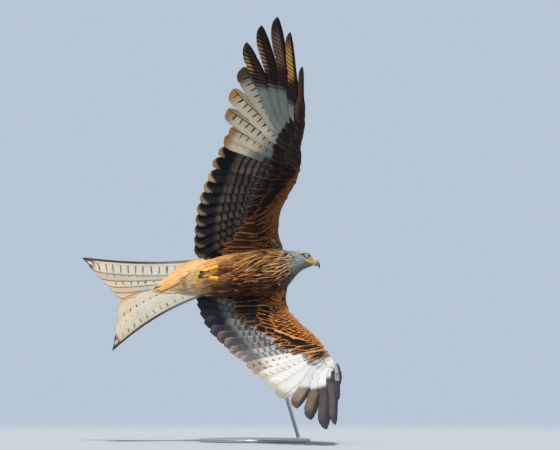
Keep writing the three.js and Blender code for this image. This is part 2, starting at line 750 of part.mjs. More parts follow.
function bird() {
  const torsoGrown = trunk(tailCut - 1, headCut + 1, gap + 0.1);
  const meshes = [
    node('torso', trunk(tailCut, neckCut), 'rufous'),
    node('neck', trunk(neckCut + gap, headCut), 'rufous'),
    node('head', head(), 'pale'),
    node('bill_upper', billUpper(), 'bill'),
    node('bill_lower', billLower(), 'bill'),
    node('eye_right', eyeball(-1, eyeRadius), 'eye'),
    node('eye_left', eyeball(1, eyeRadius), 'eye'),
    node('tail', tail(), 'grey'),
  ];
  for (const [name, wing] of Object.entries(wings)) {
    meshes.push(node(`wing_${name}_arm`, wingArm(wing, torsoGrown), 'rufous'));
    meshes.push(node(`wing_${name}_hand`, wingHand(wing), 'dark'));
  }
  for (const [name, leg] of Object.entries(legs)) {
    meshes.push(node(`thigh_${name}`, thigh(leg, torsoGrown), 'rufous'));
    meshes.push(node(`foot_${name}`, shank(leg), 'yellow'));
    toePaths(leg).forEach((toe, i) => meshes.push(node(`claw_${name}_${i + 1}`, claw(toe), 'claw')));
  }
  meshes.push(node('stand_base', standBase(), 'steel'));
  meshes.push(node('stand_rod', standRod(torsoGrown), 'steel'));
  return meshes;
}

const group = new THREE.Group();
group.add(...bird());

export default group;
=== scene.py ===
import math

import bpy
import numpy as np
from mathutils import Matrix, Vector
from mathutils.bvhtree import BVHTree
from mathutils.kdtree import KDTree


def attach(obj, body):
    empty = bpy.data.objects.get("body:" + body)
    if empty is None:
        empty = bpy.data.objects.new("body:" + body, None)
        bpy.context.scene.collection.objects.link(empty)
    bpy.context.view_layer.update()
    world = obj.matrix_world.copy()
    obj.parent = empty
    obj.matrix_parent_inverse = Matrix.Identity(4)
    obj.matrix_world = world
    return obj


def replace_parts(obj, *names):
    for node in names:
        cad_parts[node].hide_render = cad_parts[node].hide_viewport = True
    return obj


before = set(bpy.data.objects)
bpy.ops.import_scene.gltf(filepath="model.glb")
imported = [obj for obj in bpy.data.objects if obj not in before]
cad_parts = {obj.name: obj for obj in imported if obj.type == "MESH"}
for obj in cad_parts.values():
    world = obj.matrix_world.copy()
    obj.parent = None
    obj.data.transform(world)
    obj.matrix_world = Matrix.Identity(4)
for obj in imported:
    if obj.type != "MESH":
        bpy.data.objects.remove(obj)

for spare in ("Cube", "Light", "Camera"):    # things that a new file may hold
    if spare in bpy.data.objects:
        bpy.data.objects.remove(bpy.data.objects[spare])

# A red kite in banked flight on a display stand. Sizes below are millimetres, as on the solids,
# and each mesh is scaled to metres as it is made.
mm = 0.001
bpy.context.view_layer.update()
chance = np.random.default_rng(11)
fullTurn = 2 * math.pi


def curve(table, at):  # smooth reading of [position, value] pairs, with no overshoot
    xs, ys = np.array(table, float).T
    rise = np.diff(ys) / np.diff(xs)
    slope = np.concatenate([rise[:1], np.zeros(len(xs) - 2), rise[-1:]])
    same = rise[:-1] * rise[1:] > 0
    slope[1:-1][same] = 2 / (1 / rise[:-1][same] + 1 / rise[1:][same])
    at = np.clip(at, xs[0], xs[-1])
    i = np.clip(np.searchsorted(xs, at, side="right") - 1, 0, len(xs) - 2)
    width = xs[i + 1] - xs[i]
    q = (at - xs[i]) / width
    start = (1 + 2 * q) * (1 - q) ** 2 * ys[i] + q * (1 - q) ** 2 * width * slope[i]
    return start + q * q * (3 - 2 * q) * ys[i + 1] + q * q * (q - 1) * width * slope[i + 1]


def curves(table, at):  # the same for each column after the first
    table = np.array(table, float)
    return [curve(table[:, [0, k]], at) for k in range(1, table.shape[1])]


def evenly(values, count):  # smooth reading of evenly spaced values
    return curve(np.stack([np.linspace(0, 1, len(values)), values], 1), np.linspace(0, 1, count))


def line(table, at):  # straight reading of [position, value] pairs
    xs, ys = np.array(table, float).T
    return np.interp(at, xs, ys)


def ease(value, low=0.0, high=1.0):
    q = np.clip((np.asarray(value, float) - low) / (high - low), 0, 1)
    return q * q * (3 - 2 * q)


def mixed(tint, *coats):  # a colour with others laid over it, each by its share
    tint = np.asarray(tint, float)
    for colour, share in coats:
        share = np.asarray(share, float)[..., None]
        tint = tint * (1 - share) + np.asarray(colour, float) * share
    return tint


def unit(vectors):
    return vectors / np.maximum(np.linalg.norm(vectors, axis=-1, keepdims=True), 1e-9)


def around(count):  # angles once round a circle
    return np.arange(count) / count * fullTurn


def between(a, b, share):
    return [p + (q - p) * share for p, q in zip(a, b)]


def within(reach, count):  # random values up to a reach either way
    return chance.uniform(-reach, reach, count)


def spread(values, share):  # each value varied by up to a share of itself
    return values * (1 + within(share, np.shape(values)))


# Shader maths

class Socket:  # an output in a node tree, which takes part in sums
    def __init__(self, tree, out=None):
        self.tree = tree
        self.out = out

    def add(self, kind, settings=None, inputs=None, output=0):
        node = self.tree.nodes.new(kind)
        for key, value in (settings or {}).items():
            setattr(node, key, value)
        for key, value in (inputs or {}).items():
            if isinstance(value, Socket):
                self.tree.links.new(value.out, node.inputs[key])
            else:
                node.inputs[key].default_value = value
        return Socket(self.tree, node.outputs[output])

    def other(self, output):  # another output of the same node
        return Socket(self.tree, self.out.node.outputs[output])

    def math(self, operation, *values):
        return self.add("ShaderNodeMath", {"operation": operation}, dict(enumerate(values)))

    def __add__(self, value):
        return self.math("ADD", self, value)

    def __sub__(self, value):
        return self.math("SUBTRACT", self, value)

    def __rsub__(self, value):
        return self.math("SUBTRACT", value, self)

    def __mul__(self, value):
        return self.math("MULTIPLY", self, value)

    def __truediv__(self, value):
        return self.math("DIVIDE", self, value)

    def __rtruediv__(self, value):
        return self.math("DIVIDE", value, self)

    def __abs__(self):
        return self.math("ABSOLUTE", self)

    __radd__ = __add__
    __rmul__ = __mul__

    def sine(self):
        return self.math("SINE", self)

    def larger(self, value):
        return self.math("MAXIMUM", self, value)

    def step(self, low, high):  # smooth step from 0 at low to 1 at high
        inputs = {"Value": self, "From Min": low, "From Max": high, "To Min": 0.0, "To Max": 1.0}
        return self.add("ShaderNodeMapRange", {"interpolation_type": "SMOOTHSTEP"}, inputs, "Result")

    def blend(self, a, b):  # colour a where this is 0, colour b where it is 1
        a, b = (colour if isinstance(colour, Socket) else (*colour, 1) for colour in (a, b))
        return self.add("ShaderNodeMix", {"data_type": "RGBA"}, {0: self, 6: a, 7: b}, 2)

    def shaded(self, amount):  # this colour times a number
        inputs = {0: self, "Scale": amount}
        return self.add("ShaderNodeVectorMath", {"operation": "SCALE"}, inputs, "Vector")

    def attribute(self, name, output="Fac"):
        return self.add("ShaderNodeAttribute", {"attribute_name": name}, {}, output)

    def place(self):
        return self.add("ShaderNodeTexCoord", {}, {}, "Object")

    def noise(self, scale, detail=3.0, place=None):
        inputs = {"Vector": place or self.place(), "Scale": scale, "Detail": detail}
        return self.add("ShaderNodeTexNoise", {}, inputs, 0)


def finish(name, paint):  # a material whose paint function returns links, relief and constants
    material = bpy.data.materials.new(name)
    material.use_nodes = True
    tree = material.node_tree
    tree.nodes.clear()
    start = Socket(tree)
    links, relief, constants = paint(start)
    if relief:
        settings = dict(zip(("Height", "Strength", "Distance"), relief))
        links["Normal"] = start.add("ShaderNodeBump", {}, settings, "Normal")
    shader = start.add("ShaderNodeBsdfPrincipled", {}, {**constants, **links})
    output = tree.nodes.new("ShaderNodeOutputMaterial")
    tree.links.new(shader.out, output.inputs["Surface"])
    return material


def patchy(look):  # paint of two colours in patches, with a third where an attribute says so
    def paint(start):
        fine = start.noise(look["grain"]) - 0.5
        colour = start.noise(look["patches"]).blend(*look["colours"])
        if "marks" in look:
            colour = start.attribute(look["marks"]).blend(colour, look["marked"])
        return {"Base Color": colour}, (fine, *look["relief"]), look["gloss"]
    return paint


plumageLook = {
    "dark": (0.010, 0.007, 0.006), "shaft": (0.02, 0.015, 0.012),
    "streakWide": 0.54,      # half width of the dark shaft streak, as a share of the vane
    "barbGap": 1.3,          # mm between the ridges of the barbs
    "barbLean": 9.0,         # mm that a barb reaches towards the tip
    "uneven": 0.36, "patches": 45.0, "grain": 420.0,
    "rim": (0.68, 0.92), "tip": (0.91, 1.0), "quill": (0.035, 0.09),    # where each of these fades
    "relief": (0.35, 0.0006), "gloss": {"Roughness": 0.72, "Specular IOR Level": 0.12},
}


def plumagePaint(start):
    look = plumageLook
    place = start.add("ShaderNodeUVMap", {"uv_map": "vane"}, {}, "UV")
    along = start.add("ShaderNodeSeparateXYZ", {}, {"Vector": place}, "Y")
    across = abs(along.other("X") * 2 - 1)
    reach = along * start.attribute("span")
    patches = start.noise(look["patches"]) - 0.5
    fine = start.noise(look["grain"], 2.0) - 0.5
    taper = (along * math.pi).sine() * 0.4 + 0.6
    edge = look["streakWide"] * taper + fine * 0.18
    streak = (edge - across).step(-0.04, 0.09) * start.attribute("streak")
    lean = across * start.attribute("slant") - fine * 0.14 - patches * 0.5
    wave = ((reach / start.attribute("gap") - lean) * fullTurn).sine()
    bars = (wave - start.attribute("thin")).step(0.0, 0.35) * start.attribute("bars")
    fringe = across.step(*look["rim"]).larger(along.step(*look["tip"])) * start.attribute("fringe")
    quill = (1 - across.step(*look["quill"])) * start.attribute("quill")
    colour = fringe.blend(start.attribute("tint", "Color"), start.attribute("rim", "Color"))
    colour = streak.larger(bars).blend(colour, look["dark"])
    colour = quill.blend(colour, look["shaft"])
    barb = ((reach - across * look["barbLean"]) / look["barbGap"] * fullTurn).sine()
    light = 1 + patches * look["uneven"] + fine * look["uneven"] + barb * 0.05
    return {"Base Color": colour.shaded(light)}, (barb * 0.3 + fine, *look["relief"]), look["gloss"]


def downPaint(start):
    fine = start.noise(600.0, 4.0) - 0.5
    colour = start.attribute("tint", "Color").shaded(0.8 + fine * 0.7)
    return {"Base Color": colour}, (fine, 0.5, 0.001), {"Roughness": 0.9, "Specular IOR Level": 0.15}


plumageFinish = finish("plumage", plumagePaint)
downFinish = finish("down", downPaint)
print("materials for the plumage are ready")


# Meshes

def outward(points, quads):  # quads turned so that the solid's faces look out
    a, b, c, d = (points[quads[:, i]] for i in range(4))
    volume = np.einsum("ij,ij->i", a, np.cross(b, c)).sum() + np.einsum("ij,ij->i", a, np.cross(c, d)).sum()
    return quads if volume > 0 else quads[:, ::-1]


def setColour(mesh, name, colours):  # one colour for each vertex
    flat = np.concatenate([colours, np.ones((len(colours), 1))], 1).astype(np.float32).ravel()
    mesh.color_attributes.new(name, "FLOAT_COLOR", "POINT").data.foreach_set("color", flat)


def meshPiece(name, points, quads, material, slotName, layers=(), values=()):
    mesh = bpy.data.meshes.new(name)
    mesh.from_pydata((points * mm).tolist(), [], quads.tolist(), shade_flat=False)
    for layer, uv in dict(layers).items():
        mesh.uv_layers.new(name=layer).data.foreach_set("uv", uv[quads.ravel()].astype(np.float32).ravel())
    for key, value in dict(values).items():
        if np.ndim(value) == 2:
            setColour(mesh, key, value)
        else:
            flat = np.asarray(value, np.float32)
            mesh.attributes.new(key, "FLOAT", "POINT").data.foreach_set("value", flat)
    mesh.validate()
    piece = bpy.data.objects.new(name, mesh)
    bpy.context.scene.collection.objects.link(piece)
    piece.data.materials.append(material)
    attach(piece, "root")
    return piece


def ringQuads(rows, columns):  # quads of a closed tube of rings, ends left out
    i, j = np.meshgrid(np.arange(rows - 1), np.arange(columns), indexing="ij")
    here = i * columns + j
    beside = i * columns + (j + 1) % columns
    return np.stack([here, beside, beside + columns, here + columns], -1).reshape(-1, 4)


def closedTube(rings):  # points and quads of a tube whose ends shrink to small closed rings
    rows, columns, _ = rings.shape
    first, last = (end.mean(1, keepdims=True) for end in (rings[:1], rings[-1:]))
    near = [first + (rings[:1] - first) * share for share in (0.02, 0.6)]
    far = [last + (rings[-1:] - last) * share for share in (0.6, 0.02)]
    points = np.concatenate([*near, rings, *far]).reshape(-1, 3)
    offset = (rows + 3) * columns
    caps = np.array([[k, k + 1, columns - 2 - k, columns - 1 - k] for k in range(columns // 2 - 1)])
    quads = np.concatenate([ringQuads(rows + 4, columns), caps[:, ::-1], caps + offset])
    return points, outward(points, quads)


def joined(parts):  # several (points, quads) as one
    offsets = np.cumsum([0] + [len(points) for points, _ in parts])
    quads = [quads + offset for (_, quads), offset in zip(parts, offsets)]
    return np.concatenate([points for points, _ in parts]), np.concatenate(quads)


def smoothPath(points, count):  # evenly read smooth path through a few points
    points = np.array(points, float)
    steps = np.concatenate([[0], np.cumsum(np.linalg.norm(np.diff(points, axis=0), axis=1))])
    at = np.linspace(0, steps[-1], count)
    return np.stack(curves(np.column_stack([steps, points]), at), -1)


def tubeRings(path, radii, sides):  # rings round a path, radii one for each of its points
    ahead = unit(np.gradient(path, axis=0))
    side = unit(np.cross(ahead, np.array([0.02, 0.05, 1.0])))
    up = np.cross(side, ahead)
    angle = around(sides)[None, :, None]
    turn = np.cos(angle) * side[:, None] + np.sin(angle) * up[:, None]
    return path[:, None] + turn * np.asarray(radii)[:, None, None]


def tube(path, radii, sides):
    return closedTube(tubeRings(path, radii, sides))


# Body: stations from the rump to the bill as x, y, z, half width across the back, half depth and roll

bodyStations = [
    [-190, 2, 430, 39, 33, 14], [-150, 0, 437, 48.5, 42, 14], [-95, 0, 446, 59, 50, 14],
    [-40, 0, 452, 65, 56, 14], [14, 0, 457, 67, 58, 14], [54, 0, 461, 65, 55, 14],
    [81, -1, 464, 56, 48, 13], [97, -2, 473, 44.5, 38.5, 8], [113.5, -3, 483.4, 34.5, 29, 0],
    [120, -3, 486.5, 31.1, 27, 0], [127, -3, 488.85, 27.85, 25.5, 0], [134, -3, 489.8, 25.2, 23.8, 0],
    [140.5, -3, 489.85, 22.55, 21.6, 0], [147, -3, 489.3, 19.3, 18.2, 0], [152.7, -3, 488.2, 15.6, 14.4, 0],
    [157, -3, 486.55, 11.95, 10.6, 0],
]
bodyEnds = [bodyStations[0][0], bodyStations[-1][0]]
coatDepth = [[-190, 4.5], [60, 5], [97, 3], [120, 1.8], [157, 1.0]]


def bodyPoint(x, angle, depth):  # below the coat; angle 0 is towards the right wing, then the back
    y, z, wide, deep, roll = curves(bodyStations, x)
    roll = np.radians(roll)
    across = (wide - depth) * np.cos(angle)
    back = (deep - depth) * np.sin(angle)
    return np.stack([x + 0 * across, y + across * np.sin(roll) + back * np.cos(roll),
                     z + across * np.cos(roll) - back * np.sin(roll)], -1)


# Wings: plan points are [u, v], u outwards along the span and v towards the tail

foldHalf = 30
fingerBend = {"degrees": 14, "length": 300, "most": 1.3}
wings = {
    "right": {
        "side": 1, "shoulder": [35, 36, 494], "armAngle": -2, "handAngle": 38, "fingerStart": 450,
        "elbow": [127.5, 11], "wrist": [249, -78], "handTip": [369, -93],
        "leadingEdge": [[-20, -44], [37, -40], [54, -33], [78, -30], [110, -32], [139, -40], [170, -57],
                        [207, -79], [240, -89], [279, -93], [315, -90], [346, -96], [373, -99]],
        "primaryLengths": [215, 211, 248, 278, 312, 367, 391, 394, 333, 216],
        "primaryAngles": [65, 59.3, 49.8, 39.4, 28.9, 23, 15.6, 9.3, 5.4, 0],
        "secondaryLengths": [[0, 211], [0.22, 215], [0.55, 227], [1, 230]],
        "secondaryAngles": [[0, 69], [0.22, 84.6], [1, 120]],
        "tipSlant": [[0, -22], [4, -18], [9, -6]],
    },
    "left": {
        "side": -1, "shoulder": [35, 18, 415], "armAngle": 20, "handAngle": 68, "fingerStart": 380,
        "elbow": [127.3, -13], "wrist": [179, -154], "handTip": [293, -189],
        "leadingEdge": [[-20, -58], [9, -52], [36, -49], [68, -60], [106, -93], [135, -128], [164, -151],
                        [186, -159], [224, -175], [260, -186], [297, -194]],
        "primaryLengths": [236, 238, 239, 258, 290, 317, 355, 383, 349, 214],
        "primaryAngles": [62.9, 55.5, 49.2, 37.5, 27.2, 18, 10.3, 4, 1, 0],
        "secondaryLengths": [[0, 226], [0.3, 219], [0.7, 240], [1, 243]],
        "secondaryAngles": [[0, 70], [0.33, 85.8], [0.55, 93], [1, 113]],
        "tipSlant": [[0, -12], [3, -24], [9, -30]],
    },
}
flight = {
    "primaryRoots": [10, 22, 34, 46, 58, 70, 82, 95, 108, 119],
    "primaryLead": [13, 13, 13, 13, 13, 14, 14, 13, 9, 7],
    "primaryTrail": [33, 33, 33, 34, 35, 38, 38, 38, 28, 20],
    "fingerShare": [1, 1, 1, 1, 1, 0.8, 0.78, 0.76, 0.7, 0.6],   # breadth left past the notch
    "leadShare": 0.62,       # the same on the leading side
    "drop": 0.4, "outerStep": 0.75,
    "secondaries": 10, "secondaryLead": 13, "secondaryTrail": 34,
    "tertials": [196, 172, 146], "tertialTrail": 26,
    "tilt": math.tan(math.radians(7)),
}
wingFlesh = {"rear": 46, "inset": 2.2, "least": 0.6, "tipPast": 14}
wingSection = [[0, 0.0], [0.02, 0.42], [0.08, 0.78], [0.2, 1], [0.35, 0.96], [0.6, 0.76], [1, 0.5]]


def wingSpace(wing):  # maps plan coordinates and height to space
    us = np.arange(-100.0, 900.0, 2.0)
    fold = ease(us, wing["wrist"][0] - foldHalf, wing["wrist"][0] + foldHalf)
    bend = np.clip((us - wing["fingerStart"]) / fingerBend["length"], 0, fingerBend["most"])
    angle = wing["armAngle"] + (wing["handAngle"] - wing["armAngle"]) * fold - fingerBend["degrees"] * bend
    angle = np.radians(angle)
    x, y, z = wing["shoulder"]
    spanY = -np.concatenate([[0], np.cumsum(np.sin(angle) * 2)[:-1]])
    spanZ = wing["side"] * np.concatenate([[0], np.cumsum(np.cos(angle) * 2)[:-1]])
    spanY += y - np.interp(0, us, spanY)
    spanZ += z - np.interp(0, us, spanZ)

    def place(u, v, w):
        u, v, w = np.broadcast_arrays(u, v, w)
        turn = np.interp(u, us, angle)
        return np.stack([x - v, np.interp(u, us, spanY) + np.cos(turn) * w,
                         np.interp(u, us, spanZ) + wing["side"] * np.sin(turn) * w], -1)
    return place


def heading(degrees):  # direction in the plan
    return math.cos(math.radians(degrees)), math.sin(math.radians(degrees))


def flightFeathers(wing):  # primaries from the wrist out, secondaries from the wrist in, then tertials
    reach = math.dist(wing["wrist"], wing["handTip"])
    primaries = [{
        "kind": "primary", "k": k, "length": wing["primaryLengths"][k], "angle": wing["primaryAngles"][k],
        "root": between(wing["wrist"], wing["handTip"], flight["primaryRoots"][k] / reach),
        "lead": flight["primaryLead"][k], "trail": flight["primaryTrail"][k],
        "height": -flight["drop"] - flight["outerStep"] * max(0, k - 3),
    } for k in range(10)]
    inner = {"lead": flight["secondaryLead"], "trail": flight["secondaryTrail"], "height": 0.0}
    count = flight["secondaries"]
    secondaries = [{
        **inner, "kind": "secondary", "k": k,
        "length": float(line(wing["secondaryLengths"], k / (count - 1))),
        "angle": float(line(wing["secondaryAngles"], k / (count - 1))),
        "root": between(wing["wrist"], wing["elbow"], (k + 0.5) / (count + 0.5)),
    } for k in range(count)]
    tertials = [{
        **inner, "kind": "tertial", "k": k, "length": length, "angle": secondaries[-1]["angle"] - 2 - 3 * k,
        "root": between(wing["elbow"], [0, 0], 0.16 + 0.17 * k), "trail": flight["tertialTrail"],
    } for k, length in enumerate(flight["tertials"])]
    return primaries, secondaries + tertials


def wingForm(wing):  # leading edge, rear edge, half thickness and feather direction along the span
    feathers = sum(flightFeathers(wing), [])
    rear = sorted([root + wingFlesh["rear"] * part for root, part in zip(f["root"], heading(f["angle"]))]
                  for f in feathers)
    lie = sorted([f["root"][0], f["angle"]] for f in feathers)
    elbow, wrist, tip = wing["elbow"][0], wing["wrist"][0], wing["handTip"][0]
    thick = [[-10, 34], [30, 30], [70, 25], [elbow, 22], [(elbow + wrist) / 2, 19], [wrist, 16], [tip, 9],
             [tip + 30, 6]]

    def section(u):
        return line(wing["leadingEdge"], u), line(rear, u), curve(thick, u) / 2

    def half(u, v):
        front, back, most = section(u)
        return most * curve(wingSection, np.clip((v - front) / (back - front), 0, 1))

    def direction(u):
        return line(lie, u)
    return section, half, direction


# Skin: one surface through trunk, neck, head, wings, thighs and the root of the tail

tailShape = {
    "root": [-140.5, 4, 446.2], "drop": 15.5, "twist": 30, "fan": 25.6, "rootAlong": -25, "short": 238,
    "halves": [
        {"side": 1, "out": 36, "bow": 52, "long": 331},
        {"side": -1, "out": 46, "bow": 92, "long": 315},
    ],
    "forkPower": 1.7, "lead": 13, "trail": 31, "innerTrail": 13, "step": 0.5, "innerLift": 2, "tilt": 0.004,
    "camber": 0.25, "middle": -3,
}
tailFlesh = [  # along the tail: half width and half depth of its root
    [20, 42, 34], [51, 38, 31], [66, 33.5, 21], [85, 29, 14], [105, 22, 9], [125, 14.5, 5.5], [150, 3.5, 3],
]
legs = {
    "right": {"hip": [-60, -26, 470], "heel": [-95, -52, 474], "foot": [-138, -53, 460.5], "lean": -3},
    "left": {"hip": [-60, -30, 446], "heel": [-95, -60, 440], "foot": [-142, -62, 445], "lean": 1},
}
legShape = {
    "thigh": [[0, 20.5], [0.42, 14.5], [0.92, 7.6], [1, 5.6]], "thighEnd": 4, "thighSteps": 30,
    "tarsus": [5.6, 5, 4.4], "toe": [3.6, 3, 2.4, 1.9], "claw": [2.3, 2.2, 1.8, 1.1, 0.25],
    "toeSpread": 3.9,
}
eyeShape = {"radius": 7, "centre": [137.4, 13.9, 501.9], "axis": [0.33, 0.94, 0.05], "middle": -3}
browPath = [[151, 11, 502.5], [145.5, 16.5, 506.8], [137.5, 19, 509.2], [129, 20, 507.5]]
gapePath = [[157.5, 10.4, 484.6], [150, 16.4, 486], [142, 20.9, 488.8], [134.5, 23.2, 491.4]]
skinShape = {
    "voxel": 2.1, "relax": 0.5, "relaxed": 7, "sides": 64, "bodyStep": 3.0, "legSides": 24,
    "tailEnds": [20, 150], "tailRings": 44, "tailInset": 2, "tailLeast": 0.8,
    "wingStart": -15, "wingRings": 90, "wingFront": 1.5, "chord": 15, "chordPower": 1.7,
    "browRings": 24, "browSides": 12, "browThick": [0.8, 1.5], "socket": [3.0, 11.0], "socketDepth": 3.2,
}


def tailSpace():
    drop, twist = math.radians(tailShape["drop"]), math.radians(tailShape["twist"])
    back = np.array([-math.cos(drop), 0, -math.sin(drop)])
    flat = np.array([-math.sin(drop), 0, math.cos(drop)])
    across = flat * math.cos(twist) + np.array([0, math.sin(twist), 0])
    up = np.cross(back, across)

    def place(u, v, w):  # v outwards to the right wing's side
        u, v, w = (np.asarray(a, float)[..., None] for a in np.broadcast_arrays(u, v, w))
        return np.array(tailShape["root"]) + back * u + across * v + up * w
    return place


def mirrored(path, side):  # a path given outwards from the middle of the head
    return [[x, eyeShape["middle"] + side * out, z] for x, out, z in path]


def alongShank(leg, distance):
    heel, foot = np.array(leg["heel"], float), np.array(leg["foot"], float)
    return heel + unit(foot - heel) * distance


def thighPath(leg):  # its middle line and its radii
    bend = between(leg["hip"], leg["heel"], 0.5)
    count = legShape["thighSteps"]
    path = smoothPath([leg["hip"], bend, leg["heel"], alongShank(leg, legShape["thighEnd"])], count)
    return path, curve(legShape["thigh"], np.linspace(0, 1, count))


def trunkPart():
    x = np.append(np.arange(bodyEnds[0], bodyEnds[1] - 1, skinShape["bodyStep"]), bodyEnds[1])[:, None]
    return closedTube(bodyPoint(x, around(skinShape["sides"])[None], line(coatDepth, x)))


def tailPart():
    angle, middle = around(skinShape["sides"])[None], tailShape["middle"]
    steps = np.linspace(*skinShape["tailEnds"], skinShape["tailRings"])[:, None]
    wide, deep = (np.maximum(half - skinShape["tailInset"], skinShape["tailLeast"])
                  for half in curves(tailFlesh, steps))
    return closedTube(tailSpace()(steps, middle + wide * np.cos(angle), deep * np.sin(angle)))


def wingPart(wing):  # rings run back along the upper side and forwards along the lower
    section, _, _ = wingForm(wing)
    tip = wing["handTip"][0] + wingFlesh["tipPast"]
    u = np.linspace(skinShape["wingStart"], tip, skinShape["wingRings"])[:, None]
    front, rear, most = section(u)
    back = np.linspace(0, 1, skinShape["chord"]) ** skinShape["chordPower"]
    forwards = np.linspace(1, 0, skinShape["chord"])[:-1] ** skinShape["chordPower"]
    chord = np.concatenate([back, forwards])[None]
    up = np.concatenate([back * 0 + 1, forwards * 0 - 1])[None]
    high = np.maximum(most * curve(wingSection, chord) - wingFlesh["inset"], wingFlesh["least"]) * up
    v = front + skinShape["wingFront"] + (rear - front - skinShape["wingFront"]) * chord
    return closedTube(wingSpace(wing)(u + 0 * chord, v, high))


def browPart(side):
    count, (least, more) = skinShape["browRings"], skinShape["browThick"]
    thick = least + more * np.sin(np.linspace(0, math.pi, count))
    return tube(smoothPath(mirrored(browPath, side), count), thick, skinShape["browSides"])


def skinParts():
    parts = [trunkPart(), tailPart()]
    parts += [wingPart(wing) for wing in wings.values()]
    parts += [tube(*thighPath(leg), skinShape["legSides"]) for leg in legs.values()]
    return parts + [browPart(side) for side in (1, -1)]


def eyeAt(side, depth=0.0):
    axis = unit(np.array(eyeShape["axis"])) * [1, side, 1]
    return np.array(mirrored([eyeShape["centre"]], side)[0]) + axis * depth, axis


def sinkEyes(points):  # shallow sockets round the eyes
    for side in (1, -1):
        centre, axis = eyeAt(side, eyeShape["radius"])
        near = 1 - ease(np.linalg.norm(points - centre, axis=1), *skinShape["socket"])
        points = points - axis * (near * skinShape["socketDepth"])[:, None]
    return points


skin = meshPiece("skin", *joined(skinParts()), downFinish, "body_plumage")
remesh = skin.modifiers.new("join", "REMESH")
remesh.mode = "VOXEL"
remesh.voxel_size = skinShape["voxel"] * mm
relax = skin.modifiers.new("relax", "SMOOTH")
relax.factor = skinShape["relax"]
relax.iterations = skinShape["relaxed"]
skin.data = bpy.data.meshes.new_from_object(skin.evaluated_get(bpy.context.evaluated_depsgraph_get()))
skin.modifiers.clear()
skinPoints = np.zeros(len(skin.data.vertices) * 3, np.float32)
skin.data.vertices.foreach_get("co", skinPoints)
skinPoints = sinkEyes(skinPoints.reshape(-1, 3).astype(float) / mm)
skin.data.vertices.foreach_set("co", (skinPoints * mm).astype(np.float32).ravel())
skin.data.update()
skin.data.polygons.foreach_set("use_smooth", np.full(len(skin.data.polygons), True))
skinTree = BVHTree.FromPolygons(skinPoints.tolist(), [tuple(p.vertices) for p in skin.data.polygons])
print("skin joined:", len(skin.data.polygons), "faces")


# Small feathers: each is led along the skin from its root, so it lies as the body bends

leafRows = 6
leafShape = [[0, 0.3], [0.25, 0.82], [0.5, 1], [0.75, 0.86], [0.92, 0.55], [1, 0.14]]
leafLook = {"root": -0.9, "rise": 2.6, "camber": 0.16, "thick": 0.35, "thinBelow": 8, "cell": 0.003}
roots = []    # where small feathers start, with their colours


def combed(seeds, nearest):
    # seeds hold point, direction, length and width; those that start away from the skin are dropped
    kept = []
    places = np.zeros((3, len(seeds["point"]), leafRows, 3))
    for i, (point, lead, length) in enumerate(zip(seeds["point"], seeds["lead"], seeds["length"])):
        at, normal, _, distance = skinTree.find_nearest(Vector(point))
        if distance > nearest:
            continue
        lead = Vector(lead)
        kept.append(i)
        for row in range(leafRows):
            lead = (lead - normal * lead.dot(normal)).normalized()
            places[:, i, row] = at, normal, lead
            at, normal, _, _ = skinTree.find_nearest(at + lead * (length / (leafRows - 1)))
    centres, normals, leads = places[:, kept]
    normals[:, 1:-1] = unit(normals[:, :-2] + normals[:, 1:-1] * 2 + normals[:, 2:])
    return {key: value[kept] for key, value in seeds.items()}, centres, normals, leads


def leafPiece(name, seeds, slotName, nearest=4.5):
    seeds, centres, normals, leads = combed(seeds, nearest)
    count = len(centres)
    each = leafRows * 4
    t = np.linspace(0, 1, leafRows)
    side = unit(np.cross(normals, leads))
    half = (seeds["width"][:, None] / 2 * curve(leafShape, t))[..., None]
    lift = seeds["puff"][:, None] * leafLook["rise"] * ease(t, 0, 0.8) * (1 - 0.35 * t ** 3)
    thin = np.minimum(1, seeds["width"][:, None] / leafLook["thinBelow"])
    thick = leafLook["thick"] * (1 - 0.6 * t) * thin
    middle = centres + normals * (leafLook["root"] + lift)[..., None]
    edge = middle - normals * (half * leafLook["camber"])
    raised = normals * thick[..., None]
    ring = [edge - side * half, middle + raised, edge + side * half, middle - raised]
    points = np.stack(ring, 2).reshape(-1, 3)
    one = np.concatenate([ringQuads(leafRows, 4), [[3, 2, 1, 0]], [np.arange(each - 4, each)]])
    quads = outward(points, (one[None] + (np.arange(count) * each)[:, None, None]).reshape(-1, 4))
    vane = np.stack(np.broadcast_arrays([0, 0.5, 1, 0.5], t[:, None], np.zeros((count, 1, 1)))[:2], -1)
    vane = vane.reshape(-1, 2)
    bake = np.repeat(seeds["home"], each, 0) + (vane - 0.5) * leafLook["cell"]
    values = {key: np.repeat(seeds[key], each, 0) for key in ("tint", "rim", "streak", "fringe")}
    values["span"] = np.repeat(seeds["length"], each)
    meshPiece(name, points, quads, plumageFinish, slotName, {"OFBake": bake, "vane": vane}, values)
    roots.append((centres[:, 1], seeds["tint"]))
    print(name, count, "feathers,", len(quads) * 2, "triangles")


